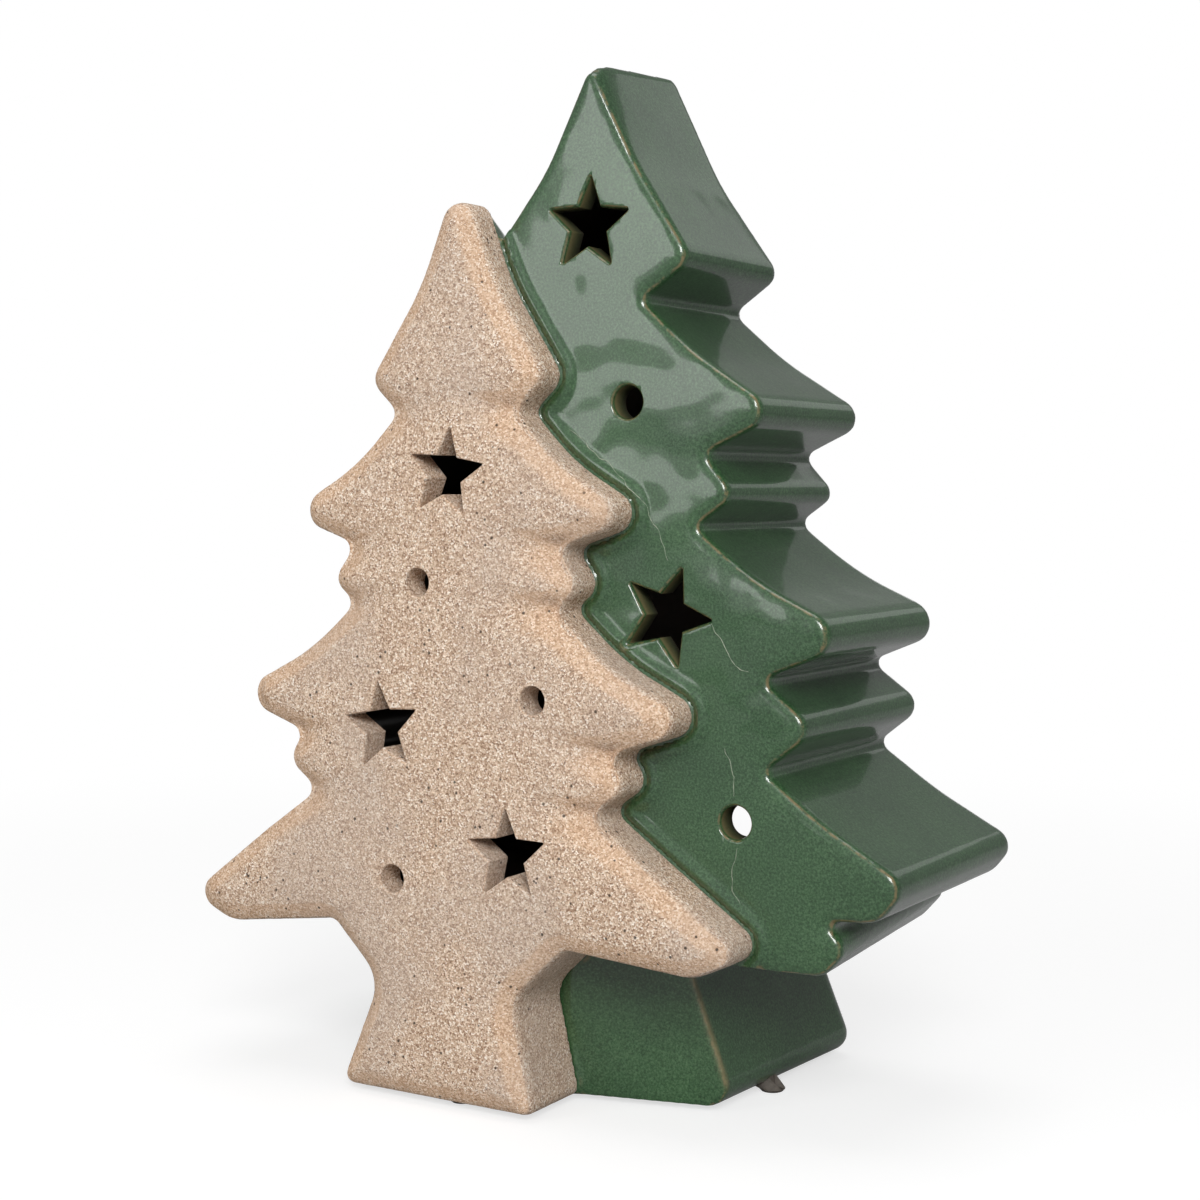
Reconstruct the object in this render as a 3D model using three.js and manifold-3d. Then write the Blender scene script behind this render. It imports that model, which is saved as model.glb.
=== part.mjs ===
// Lighted double christmas tree: a hollow glazed ceramic lantern and the battery tealight inside it.
// Millimetres. +Z is up, the fronts of the trees look towards -Y, and +X is the viewer's right.
// Every piece is drawn in the trees' own frame: the large tree's front face is the plane y = 0, and the
// undersides of the trunks are the plane z = 0. The last lines move the origin to the bottom centre.
import * as THREE from 'three';
import { mergeVertices } from 'three/addons/utils/BufferGeometryUtils.js';
import Module from 'manifold-3d';

const wasm = await Module();
wasm.setup();

// Clearance between pieces that touch
const jointGap = 0.3;

// Foot pads
const padHeight = 1.4;
const padRadius = 3.2;
const padBevel = 0.6;
const padInset = 3;

// Large green tree
const largeAxisX = -2.2;
const largeApexHeight = 241;
const largeApexRise = 5;
const largeApexRound = 1.9;
const largeCrestDepth = 9;
const largeCrestRise = 2;
const largeWall = 6;
const largeEdgeRound = 2.5;
const largeTrunkReach = 28.4;
const hiddenReach = 33.8;
const trunkTurn = 5;
const lobeTaper = 6;

// The back of the lantern, which leans forward as it rises
const rearDepth = 82;
const rearLean = 0.167;
const rearEdgeRound = 3;
const rearWallThickness = 5;

// Small sand-coated tree
const smallAxisX = -33;
const smallApexHeight = 220;
const smallApexRound = 5;
const smallShoulderDrop = 17;
const smallShoulderDepth = 18;
const smallSlopeDrop = 6.8;
const smallLean = 1.4;
const smallFrontWall = 8;
const smallSideWall = 6;
const smallFrontDepth = 16;
const smallFrontLean = 0.025;
const smallEdgeRound = 7;
const smallArmpitReach = 33;
const smallTrunkLeft = 30;
const smallTrunkRight = 26;
const smallBranchRise = 1.2;

// The large trunk's front, which is set back from the branches and turned away to the right.
// It is trunkFrontDepth deep at trunkFrontX.
const trunkTop = 38.5;
const trunkFrontX = -12;
const trunkFrontDepth = 8;
const trunkFrontSlope = 0.26;

// Light openings
const starWaistShare = 0.44;
const largeHole = 7.5;
const smallHole = 6.6;

// Doorway in the back, where the tealight goes in
const doorWidth = 50;
const doorSpring = 54;

// Battery tealight
const lightRadius = 19;
const lightHeight = 18;
const lightWall = 1.2;
const lightRearRoom = 16;
const lipDepth = 1.2;
const topThickness = 1.6;
const topDish = 0.7;
const topRim = 3.5;
const flameRadius = 5.6;
const flameHeight = 18;
const flameNeck = 2;
const flameWall = 0.9;
const flameSwell = 1.35;
const flangeWidth = 1.8;
const flangeThickness = 0.9;
const cellRadius = 10;
const cellHeight = 3.2;
const cellOffset = 4;
const cellRingWall = 1.2;
const cellRingHeight = 2.4;
const plateThickness = 1.4;
const hatchLift = 0.1;
const hatchThickness = 1.2;
const hatchHalfWidth = 11.3;
const hatchReach = 7.2;
const hatchTongue = 1.5;
const hatchTongueThickness = 0.55;
const boardHalfWidth = 12;
const boardRear = 3;
const boardThickness = 1;
const boardLift = 7.4;
const postRadius = 1.4;
const postAcross = 10.2;
const postForward = 6.5;
const ledRadius = 2.5;
const ledFlange = 0.4;
const ledFlangeHeight = 1;
const ledHeight = 8.6;
const ledDrop = 5;
const leadThickness = 0.5;
const leadSpacing = 2.54;
const stripThickness = 0.3;
const stripWidth = 3;
const knobTravel = 3;
const knobWidth = 2.4;
const knobDepth = 1.4;
const switchAcross = 8.6;
const switchDepth = 3.4;
const switchHeight = 3.6;
const switchForward = 10.7;

// How finely curves are cut: steps to a corner by its rounding, to an edge, and to a turn
const tipSteps = 4;
const creaseSteps = 2;
const creaseRound = 2.6;
const slopeSteps = 3;
const slopeRound = 30;
const edgeSteps = 3;
const archSteps = 16;
const flameSteps = 7;
const domeSteps = 4;
const turnSteps = 36;
const smallTurnSteps = 20;

// A corner's rounding takes at most this share of the side beside it, and is at least this round
const roundShare = 0.47;
const leastRound = 1.6;

// Slivers thinner than this, left by cuts, are taken out
const sliverSize = 0.004;

// Past the trees on every side
const far = 300;

// The doorway and the tealight stand midway between the two trunks
const doorX = (largeAxisX + smallAxisX) / 2;
const lightX = doorX;
const lightY = rearDepth - rearWallThickness - lightRearRoom - lightRadius;
const lightZ = largeWall + jointGap;

// Corners of the large tree's right side, from below its apex down: half width, height, rounding.
// The share goes from 0 at the front face to 1 at the back.
function largeRight(share) {
  const turn = share * trunkTurn;
  const taper = share * lobeTaper;
  return [
    [12.0, 217.5, 60],
    [26.6, 195.2, 4],
    [13.6, 186.8, 1.8],
    [26.0, 175.5, 70],
    [48.8, 160.8, 4.5],
    [29.9, 152.2, 1.8],
    [37.8, 142.9, 3.5],
    [27.6, 136.0, 1.8],
    [42.0, 124.5, 80],
    [68.5, 112.4, 5.5],
    [44.4, 102.6, 1.8],
    [58.0, 92.3, 4.5],
    [45.2, 82.4, 1.8],
    [59.0, 72.2, 90],
    [79.8, 60.4, 6],
    [72.4, 51.4, 8],
    [59.2, 50.8, 1.5],
    [66.2 - taper, 45.4, 4],
    [59.6 - taper, 38.3, 6],
    [22.0 + turn, 37.0, 3],
    [18.4 + turn, 31.0, 3],
    [largeTrunkReach + turn, 0, 5],
  ];
}

// Corners of its left side, from below up. It runs down out of sight, inside the small tree.
const largeLeft = [
  [-hiddenReach, 0, 1],
  [-hiddenReach, 186.0, 3],
  [-26.8, 199.0, 2],
  [-12.0, 217.5, 60],
];

// Corners of the small tree's side, from below its apex down: half width, height, rounding.
// The share goes from 0 at the front to 1 behind, where its top is lower. The rise lifts the lowest branch.
function smallSide(share, rise, trunkReach) {
  return [
    [10.5, 192.0 - share * smallSlopeDrop, 60],
    [25.2, 169.6, 4.5],
    [17.0, 162.0, 2.5],
    [28.0, 150.5, 70],
    [50.2, 137.8, 5],
    [29.2, 130.6, 2.5],
    [35.4, 121.9, 4],
    [28.8, 116.6, 2.5],
    [42.0, 105.0, 80],
    [67.2, 92.6, 6],
    [43.8, 84.6, 2.5],
    [48.8, 77.5, 4.5],
    [39.4, 70.8, 2.5],
    [55.0, 59.8, 90],
    [79.3, 42.0 + rise, 6.5],
    [66.0, 35.8 + rise, 12],
    [smallArmpitReach, 39.5, 4],
    [19.4, 26.4, 8],
    [trunkReach, 0, 2.5],
  ];
}

// Star openings: centre from the tree's axis, height, radius, turn in degrees
const largeStars = [[-0.2, 204.3, 11, -3], [20.5, 115.7, 11.8, -20.5]];
const smallStars = [[-0.8, 147.7, 11, -6.5], [-18.2, 87.7, 11, 7], [17.9, 60.4, 11, 3]];

// Round openings: centre from the tree's axis, height
const largeHoles = [[10.4, 163.9], [38.5, 70.6]];
const smallHoles = [[-8.3, 122.2], [24.3, 96.3], [-14.4, 51.9]];

// Colour, roughness and metalness
const finish = {
  greenGlaze: [0x35573b, 0.15, 0],
  sandCoat: [0xc4a288, 0.95, 0],
  silicone: [0x6a625a, 0.8, 0],
  ivoryPlastic: [0xe9e2d0, 0.5, 0],
  wax: [0xf2ead8, 0.45, 0],
  flame: [0xf4e3b0, 0.3, 0],
  ledResin: [0xf2d98a, 0.2, 0],
  tinnedWire: [0xb8bcc0, 0.35, 1],
  steelCell: [0xc4c6c8, 0.3, 1],
  springSteel: [0xa9adb0, 0.35, 1],
  boardGreen: [0x2c5a46, 0.6, 0],
  blackPlastic: [0x1c1c1e, 0.5, 0],
};

function material(name) {
  const [color, roughness, metalness] = finish[name];
  return new THREE.MeshStandardMaterial({ color, roughness, metalness });
}

// Solids and booleans

function toSolid(geometry) {
  const bare = geometry.clone();
  bare.deleteAttribute('normal');
  bare.deleteAttribute('uv');
  const merged = mergeVertices(bare);
  const vertProperties = new Float32Array(merged.attributes.position.array);
  const triVerts = new Uint32Array(merged.index.array);
  return new wasm.Manifold(new wasm.Mesh({ numProp: 3, vertProperties, triVerts }));
}

function toGeometry(solid) {
  const { vertProperties, triVerts } = solid.simplify(sliverSize).getMesh();
  const geometry = new THREE.BufferGeometry();
  geometry.setAttribute('position', new THREE.BufferAttribute(new Float32Array(vertProperties), 3));
  geometry.setIndex(new THREE.BufferAttribute(new Uint32Array(triVerts), 1));
  geometry.computeVertexNormals();
  return geometry;
}

function union(solids) {
  return solids.reduce((total, next) => total.add(next));
}

function without(solid, cuts) {
  return cuts.reduce((left, cut) => left.subtract(cut), solid);
}

function box(low, high) {
  const size = high.map((value, i) => value - low[i]);
  const geometry = new THREE.BoxGeometry(...size);
  geometry.translate(...low.map((value, i) => value + size[i] / 2));
  return toSolid(geometry);
}

// A closed profile of radius and height, turned about an upright axis
function turned(profile, x, y, segments) {
  const points = profile.map(([radius, height]) => new THREE.Vector2(radius, height));
  const geometry = new THREE.LatheGeometry(points, segments);
  geometry.rotateX(Math.PI / 2);
  geometry.translate(x, y, 0);
  return toSolid(geometry);
}

// A flat outline of x and z points, extruded along y
function prism(points, front, rear) {
  const shape = new THREE.Shape(points.map(([x, z]) => new THREE.Vector2(x, z)));
  const geometry = new THREE.ExtrudeGeometry(shape, { depth: rear - front, bevelEnabled: false });
  geometry.rotateX(Math.PI / 2);
  geometry.translate(0, rear, 0);
  return toSolid(geometry);
}

// Outlines: lists of corners, clockwise as seen from the front

function distance(from, to) {
  return Math.hypot(to[0] - from[0], to[1] - from[1]);
}

function unit(from, to) {
  const length = distance(from, to);
  return [(to[0] - from[0]) / length, (to[1] - from[1]) / length];
}

function lineMeet(p, d, q, e) {
  const cross = d[0] * e[1] - d[1] * e[0];
  const t = ((q[0] - p[0]) * e[1] - (q[1] - p[1]) * e[0]) / cross;
  return [p[0] + d[0] * t, p[1] + d[1] * t];
}

// A corner has the same count of points at every depth, so the count goes by the rounding in the list
function stepsFor(rounding) {
  if (rounding >= slopeRound) return slopeSteps;
  return rounding <= creaseRound ? creaseSteps : tipSteps;
}

// The points of one rounded corner, whose sides run off along toBefore and toAfter
function arc(corner, toBefore, toAfter, asked, room, steps) {
  const dot = toBefore[0] * toAfter[0] + toBefore[1] * toAfter[1];
  const half = Math.acos(THREE.MathUtils.clamp(dot, -1, 1)) / 2;
  const middle = unit([0, 0], [toBefore[0] + toAfter[0], toBefore[1] + toAfter[1]]);
  const tangent = Math.min(asked / Math.tan(half), room);
  const radius = tangent * Math.tan(half);
  const reach = radius / Math.sin(half);
  const centre = [corner[0] + middle[0] * reach, corner[1] + middle[1] * reach];
  const first = [corner[0] + toBefore[0] * tangent, corner[1] + toBefore[1] * tangent];
  const last = [corner[0] + toAfter[0] * tangent, corner[1] + toAfter[1] * tangent];
  const start = Math.atan2(first[1] - centre[1], first[0] - centre[0]);
  const end = Math.atan2(last[1] - centre[1], last[0] - centre[0]);
  const sweep = THREE.MathUtils.euclideanModulo(end - start + Math.PI, 2 * Math.PI) - Math.PI;
  const points = [];
  for (let step = 0; step <= steps; step++) {
    const angle = start + (sweep * step) / steps;
    points.push([centre[0] + radius * Math.cos(angle), centre[1] + radius * Math.sin(angle)]);
  }
  return points;
}

// Moves every side of an outline inwards by the inset, and rounds each corner to match
function ring(corners, inset) {
  const count = corners.length;
  const sides = corners.map((corner, i) => {
    const along = unit(corner, corners[(i + 1) % count]);
    return { at: [corner[0] + along[1] * inset, corner[1] - along[0] * inset], along };
  });
  const moved = corners.map((corner, i) => {
    const before = sides[(i + count - 1) % count];
    const after = sides[i];
    return lineMeet(before.at, before.along, after.at, after.along);
  });
  return moved.flatMap((corner, i) => {
    const before = moved[(i + count - 1) % count];
    const after = moved[(i + 1) % count];
    const toBefore = unit(corner, before);
    const toAfter = unit(corner, after);
    const outward = toBefore[0] * toAfter[1] - toBefore[1] * toAfter[0] > 0;
    const rounding = corners[i][2];
    const asked = outward ? Math.max(rounding - inset, leastRound) : rounding + inset;
    const room = roundShare * Math.min(distance(corner, before), distance(corner, after));
    return arc(corner, toBefore, toAfter, asked, room, stepsFor(rounding));
  });
}

// A closed solid through outlines of equal point counts. Each station has its points and its depth by height.
function loft(stations) {
  const rings = stations.map(({ points, depth }) => points.map(([x, z]) => [x, depth(z), z]));
  const count = rings[0].length;
  const index = [];
  for (let r = 0; r + 1 < rings.length; r++) {
    for (let i = 0; i < count; i++) {
      const a = r * count + i;
      const b = r * count + ((i + 1) % count);
      index.push(a, b, b + count, a, b + count, a + count);
    }
  }
  const cap = (r, facesFront) => {
    const flat = rings[r].map(([x, , z]) => new THREE.Vector2(x, z));
    for (const face of THREE.ShapeUtils.triangulateShape(flat, [])) {
      const [a, b, c] = face.map((i) => r * count + i);
      index.push(a, ...(facesFront ? [b, c] : [c, b]));
    }
  };
  cap(0, true);
  cap(rings.length - 1, false);
  const geometry = new THREE.BufferGeometry();
  geometry.setAttribute('position', new THREE.Float32BufferAttribute(rings.flat(2), 3));
  geometry.setIndex(index);
  return toSolid(geometry);
}

// Steps of a quarter-round edge: how far in, and how far back from the face
function edgeRound(radius) {
  const steps = [];
  for (let step = 0; step <= edgeSteps; step++) {
    const angle = (Math.PI / 2) * (step / edgeSteps);
    steps.push({ inset: radius * (1 - Math.sin(angle)), back: radius * (1 - Math.cos(angle)) });
  }
  return steps;
}

const rearPlane = (z) => rearDepth - rearLean * z;
const smallFrontPlane = (z) => smallFrontLean * z - smallFrontDepth;
const smallAxisAt = (z) => smallAxisX - smallLean * (1 - z / smallApexHeight);

function largeCorners(share, crest = 0) {
  const apex = [0, largeApexHeight + share * largeApexRise + crest, largeApexRound];
  const corners = [apex, ...largeRight(share), ...largeLeft];
  return corners.map(([reach, z, rounding]) => [largeAxisX + reach, z, rounding]);
}

function smallCorners(share) {
  const lean = (sign) => ([reach, z, rounding]) => [smallAxisAt(z) + sign * reach, z, rounding];
  const apex = [smallAxisX, smallApexHeight - share * smallShoulderDrop, smallApexRound];
  const right = smallSide(share, smallBranchRise, smallTrunkRight).map(lean(1));
  const left = smallSide(share, -smallBranchRise / 2, smallTrunkLeft).map(lean(-1));
  return [apex, ...right, ...left.reverse()];
}

// The large tree's whole outside; grow makes it bigger all round, to clear what meets it
function largeOutside(grow) {
  const front = edgeRound(largeEdgeRound).map(({ inset, back }) => ({
    points: ring(largeCorners(0), inset - grow),
    depth: () => back - grow,
  }));
  const crest = {
    points: ring(largeCorners(largeCrestDepth / rearDepth, largeCrestRise), -grow),
    depth: () => largeCrestDepth,
  };
  const rear = edgeRound(rearEdgeRound).map(({ inset, back }) => ({
    points: ring(largeCorners(1), inset - grow),
    depth: (z) => rearPlane(z) - back + grow,
  }));
  return loft([...front, crest, ...rear.reverse()]);
}

// The large tree's inside, open at the back
function largeInside(inset) {
  return loft([
    { points: ring(largeCorners(0), inset), depth: () => largeWall },
    { points: ring(largeCorners(1), inset), depth: (z) => rearPlane(z) + 1 },
  ]);
}

// The small tree's inside behind the seam, open at both ends
function smallInside(inset) {
  const behind = ring(smallCorners(1), inset);
  return loft([
    { points: ring(smallCorners(0), inset), depth: () => -1 },
    { points: behind, depth: () => smallShoulderDepth },
    { points: behind, depth: () => rearDepth + 1 },
  ]);
}

// The space in front of the large trunk, below the lowest branches; shrink pulls it back all round
function trunkRecess(shrink) {
  const slant = Math.hypot(1, trunkFrontSlope);
  const back = (x) => trunkFrontDepth + (x - trunkFrontX) * trunkFrontSlope - shrink * slant;
  const shape = new THREE.Shape([
    new THREE.Vector2(smallAxisX, -far),
    new THREE.Vector2(far, -far),
    new THREE.Vector2(far, back(far)),
    new THREE.Vector2(smallAxisX, back(smallAxisX)),
  ]);
  const geometry = new THREE.ExtrudeGeometry(shape, { depth: far + trunkTop - shrink, bevelEnabled: false });
  geometry.translate(0, 0, -far);
  return toSolid(geometry);
}

function starPrism(axisX, [across, height, radius, turn], front, rear) {
  const points = [];
  for (let i = 0; i < 10; i++) {
    const reach = i % 2 ? starWaistShare * radius : radius;
    const angle = Math.PI / 2 + THREE.MathUtils.degToRad(turn) + (i * Math.PI) / 5;
    points.push([axisX + across + reach * Math.cos(angle), height + reach * Math.sin(angle)]);
  }
  return prism(points, front, rear);
}

function holePrism(axisX, [across, height], diameter, front, rear) {
  const radius = diameter / 2;
  const points = [];
  for (let i = 0; i < smallTurnSteps; i++) {
    const angle = (2 * Math.PI * i) / smallTurnSteps;
    points.push([axisX + across + radius * Math.cos(angle), height + radius * Math.sin(angle)]);
  }
  return prism(points, front, rear);
}

// The large tree: front face, right side and upper left side, open behind and towards the small tree
function largeTreeShell() {
  const outside = largeOutside(0).subtract(trunkRecess(0));
  const inside = largeInside(largeWall).subtract(trunkRecess(-largeWall));
  const through = largeWall + 1;
  const openings = [
    ...largeStars.map((star) => starPrism(largeAxisX, star, -1, through)),
    ...largeHoles.map((hole) => holePrism(largeAxisX, hole, largeHole, -1, through)),
  ];
  return without(outside, [inside, smallInside(smallSideWall), ...openings]);
}

// All that lies behind the sand front's seam, which steps back only where its trunk meets the large one
function behindSeam() {
  const all = box([-far, -jointGap, -far], [far, far, far]);
  const trunkZone = box([smallAxisX, -far, -far], [smallAxisX + smallArmpitReach, far, trunkTop]);
  return all.subtract(trunkZone);
}

// The small tree's sand-coated front: a dish whose rim lies against the green pieces
function smallTreeFront() {
  const corners = smallCorners(0);
  const front = edgeRound(smallEdgeRound).map(({ inset, back }) => ({
    points: ring(corners, inset),
    depth: (z) => smallFrontPlane(z) + back,
  }));
  const outside = loft([...front, { points: ring(corners, 0), depth: () => trunkFrontDepth }]);
  const inside = loft([
    { points: ring(corners, smallSideWall), depth: (z) => smallFrontPlane(z) + smallFrontWall },
    { points: ring(corners, smallSideWall), depth: () => rearDepth },
  ]);
  const largeTree = largeOutside(jointGap).subtract(trunkRecess(jointGap));
  const before = -smallFrontDepth - 1;
  const openings = [
    ...smallStars.map((star) => starPrism(smallAxisX, star, before, 0)),
    ...smallHoles.map((hole) => holePrism(smallAxisX, hole, smallHole, before, 0)),
  ];
  return without(outside, [inside, behindSeam(), largeTree, ...openings]);
}

// The small tree's green side walls, left of the large tree. The top drops behind the sand front.
function smallTreeBack() {
  const seam = { points: ring(smallCorners(0), 0), depth: () => 0 };
  const shoulder = { points: ring(smallCorners(1), 0), depth: () => smallShoulderDepth };
  const rear = edgeRound(rearEdgeRound).map(({ inset, back }) => ({
    points: ring(smallCorners(1), inset),
    depth: (z) => rearPlane(z) - back,
  }));
  const outside = loft([seam, shoulder, ...rear.reverse()]);
  const hiddenX = largeAxisX - hiddenReach - jointGap;
  const underLarge = box([hiddenX, -far, -far], [far, far, smallApexHeight / 2]);
  return without(outside, [smallInside(smallSideWall), largeOutside(jointGap), underLarge]);
}

// The doorway: straight sides and a round head
function rearDoorway() {
  const half = doorWidth / 2;
  const points = [[doorX + half, -1]];
  for (let i = 0; i <= archSteps; i++) {
    const angle = (Math.PI * i) / archSteps;
    points.push([doorX + half * Math.cos(angle), doorSpring + half * Math.sin(angle)]);
  }
  points.push([doorX - half, -1]);
  return prism(points, 0, rearDepth + 1);
}

// The back wall stands inside the side walls, flush with their rear edges
function rearWall() {
  const sheet = [[-far, far], [far, far], [far, -1], [-far, -1]];
  const slab = loft([
    { points: sheet, depth: (z) => rearPlane(z) - rearWallThickness },
    { points: sheet, depth: rearPlane },
  ]);
  const inside = largeInside(largeWall + jointGap).add(smallInside(smallSideWall + jointGap));
  return slab.intersect(inside).subtract(rearDoorway());
}

function footPad([x, y]) {
  const profile = [
    [0, -padHeight],
    [padRadius - padBevel, -padHeight],
    [padRadius, padBevel - padHeight],
    [padRadius, -jointGap],
    [0, -jointGap],
  ];
  return turned(profile, x, y, smallTurnSteps);
}

// One pad at the right and left edges of the two trunks, and one at the front and back
const padPlaces = {
  foot_pad_right: [largeAxisX + largeTrunkReach + trunkTurn / 2 - padInset, rearDepth / 2],
  foot_pad_left: [smallAxisX - smallTrunkLeft + 2 * padInset, rearDepth / 2],
  foot_pad_front: [smallAxisX, smallEdgeRound + padRadius - smallFrontDepth],
  foot_pad_rear: [doorX, rearDepth - rearEdgeRound - padRadius],
};

// The battery tealight, with heights counted from its underside
const plateLow = hatchLift + hatchThickness + jointGap;
const plateTop = plateLow + plateThickness;
const cellTop = plateLow + cellHeight;
const innerRadius = lightRadius - lightWall;
const plateRadius = innerRadius - jointGap;
const topUpper = lightHeight - lipDepth - jointGap;
const topLower = topUpper - topThickness;
const boardTop = boardLift + boardThickness;
const ledBase = lightHeight - ledDrop;

function lightBox([x0, y0, z0], [x1, y1, z1]) {
  return box([lightX + x0, lightY + y0, lightZ + z0], [lightX + x1, lightY + y1, lightZ + z1]);
}

function lightTurned(profile, x, y, segments) {
  const raised = profile.map(([radius, height]) => [radius, lightZ + height]);
  return turned(raised, lightX + x, lightY + y, segments);
}

function lightCylinder(radius, x, y, low, high, segments) {
  return lightTurned([[0, low], [radius, low], [radius, high], [0, high]], x, y, segments);
}

function tealightHousing() {
  const lipInner = innerRadius - lipDepth;
  const chamfer = lipDepth / 2;
  const profile = [
    [innerRadius, 0],
    [lightRadius, 0],
    [lightRadius, lightHeight - chamfer],
    [lightRadius - chamfer, lightHeight],
    [lipInner, lightHeight],
    [lipInner, lightHeight - lipDepth],
    [innerRadius, lightHeight - lipDepth],
    [innerRadius, 0],
  ];
  const notch = hatchHalfWidth + jointGap;
  const hatchNotch = lightBox([-notch, 0, -1], [notch, lightRadius + 1, plateLow]);
  return lightTurned(profile, 0, 0, turnSteps).subtract(hatchNotch);
}

// The wax-look top: a shallow dish with a round hole for the flame's neck
function tealightTop() {
  const hole = flameRadius + jointGap;
  const rim = plateRadius - topRim;
  const profile = [
    [hole, topLower - topDish],
    [rim, topLower - topDish],
    [plateRadius, topLower],
    [plateRadius, topUpper],
    [rim, topUpper - topDish],
    [hole, topUpper - topDish],
    [hole, topLower - topDish],
  ];
  return lightTurned(profile, 0, 0, turnSteps);
}

// A drop's half profile, from its widest at the neck up to its tip
function dropProfile(radius, tip) {
  const neck = lightHeight + flameNeck;
  const points = [];
  for (let i = 0; i < flameSteps; i++) {
    const t = i / flameSteps;
    points.push([radius * Math.cos((Math.PI / 2) * t ** flameSwell), neck + (tip - neck) * t]);
  }
  return [...points, [0, tip]];
}

// The flame: a thin hollow drop, open below, held by its flange under the top
function flameDiffuser() {
  const tip = lightHeight + flameHeight;
  const bore = flameRadius - flameWall;
  const flange = flameRadius + flangeWidth;
  const flangeTop = topLower - topDish - jointGap;
  const flangeLow = flangeTop - flangeThickness;
  const profile = [
    ...dropProfile(bore, tip - 2 * flameWall).reverse(),
    [bore, flangeLow],
    [flange, flangeLow],
    [flange, flangeTop],
    [flameRadius, flangeTop],
    ...dropProfile(flameRadius, tip),
  ];
  return lightTurned(profile, 0, 0, smallTurnSteps);
}

function ledLamp() {
  const foot = ledRadius + ledFlange;
  const footTop = ledBase + ledFlangeHeight;
  const profile = [[0, ledBase], [foot, ledBase], [foot, footTop], [ledRadius, footTop]];
  for (let i = 0; i < domeSteps; i++) {
    const angle = (Math.PI / 2) * (i / domeSteps);
    profile.push([ledRadius * Math.cos(angle), ledBase + ledHeight - ledRadius * (1 - Math.sin(angle))]);
  }
  profile.push([0, ledBase + ledHeight]);
  return lightTurned(profile, 0, 0, smallTurnSteps);
}

function ledLead(side) {
  const x = (side * leadSpacing) / 2;
  const half = leadThickness / 2;
  return lightBox([x - half, -half, boardTop + jointGap], [x + half, half, ledBase - jointGap]);
}

function circuitBoard() {
  return lightBox([-boardHalfWidth, -boardHalfWidth, boardLift], [boardHalfWidth, boardRear, boardTop]);
}

function coinCell() {
  return lightCylinder(cellRadius, 0, cellOffset, plateLow, cellTop, turnSteps);
}

// The strip that presses on the top of the cell and rises to the board
function contactNegative() {
  const half = stripWidth / 2;
  const low = cellTop + jointGap;
  const flat = lightBox([-half, -stripThickness, low], [half, cellOffset + half, low + stripThickness]);
  const riser = lightBox([-half, -stripThickness, low], [half, 0, boardLift - jointGap]);
  return flat.add(riser);
}

// The strip that touches the cell's rim and rises to the board
function contactPositive() {
  const half = stripWidth / 2;
  const near = cellOffset - cellRadius - jointGap;
  return lightBox([-half, near - stripThickness, plateTop + jointGap], [half, near, boardLift - jointGap]);
}

// The bottom plate: a disc with the cell's hole and ring, two board posts, and a channel for the hatch
function basePlate() {
  const hole = cellRadius + jointGap;
  const ringTop = plateTop + cellRingHeight;
  const disc = lightCylinder(plateRadius, 0, 0, 0, plateTop, turnSteps);
  const cellRing = lightCylinder(hole + cellRingWall, 0, cellOffset, plateLow, ringTop, turnSteps);
  const posts = [-postAcross, postAcross].map((x) =>
    lightCylinder(postRadius, x, -postForward, plateLow, boardLift - jointGap, smallTurnSteps),
  );
  const wide = hatchHalfWidth + jointGap;
  const narrow = wide - hatchTongue;
  const front = -hatchReach - jointGap;
  const ledge = hatchLift + hatchThickness - hatchTongueThickness - jointGap;
  const slotHalf = (knobWidth + knobTravel) / 2 + jointGap;
  const slotFront = -switchForward - knobDepth / 2 - jointGap;
  const slotRear = -switchForward + knobDepth / 2 + jointGap;
  const cuts = [
    lightCylinder(hole, 0, cellOffset, -1, ringTop + 1, turnSteps),
    lightBox([-wide, front, ledge], [wide, lightRadius, plateLow]),
    lightBox([-narrow, front, -1], [narrow, lightRadius, plateLow]),
    lightBox([-slotHalf, slotFront, -1], [slotHalf, slotRear, ringTop]),
    lightBox([-stripWidth, -lightRadius, plateTop], [stripWidth, 0, ringTop + 1]),
  ];
  return without(union([disc, cellRing, ...posts]), cuts);
}

// The battery hatch, which slides out to the rear on its two side tongues
function batteryHatch() {
  const middle = hatchHalfWidth - hatchTongue;
  const top = hatchLift + hatchThickness;
  const tongueLow = top - hatchTongueThickness;
  const rear = lightRadius + 1;
  const panel = lightBox([-middle, -hatchReach, hatchLift], [middle, rear, top]);
  const tongues = lightBox([-hatchHalfWidth, -hatchReach, tongueLow], [hatchHalfWidth, rear, top]);
  return panel.add(tongues).intersect(lightCylinder(lightRadius, 0, 0, -1, lightHeight, turnSteps));
}

function switchBody() {
  const across = switchAcross / 2;
  const front = -switchForward - switchDepth / 2;
  const top = boardLift - jointGap;
  return lightBox([-across, front, top - switchHeight], [across, front + switchDepth, top]);
}

// The knob stands at the left end of its slot and slides to the right to switch on
function switchKnob() {
  const left = -(knobWidth + knobTravel) / 2;
  const front = -switchForward - knobDepth / 2;
  const top = boardLift - switchHeight - 2 * jointGap;
  return lightBox([left, front, jointGap], [left + knobWidth, front + knobDepth, top]);
}

const group = new THREE.Group();

function place(name, solid, finishName) {
  const mesh = new THREE.Mesh(toGeometry(solid), material(finishName));
  mesh.name = name;
  group.add(mesh);
}

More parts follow.
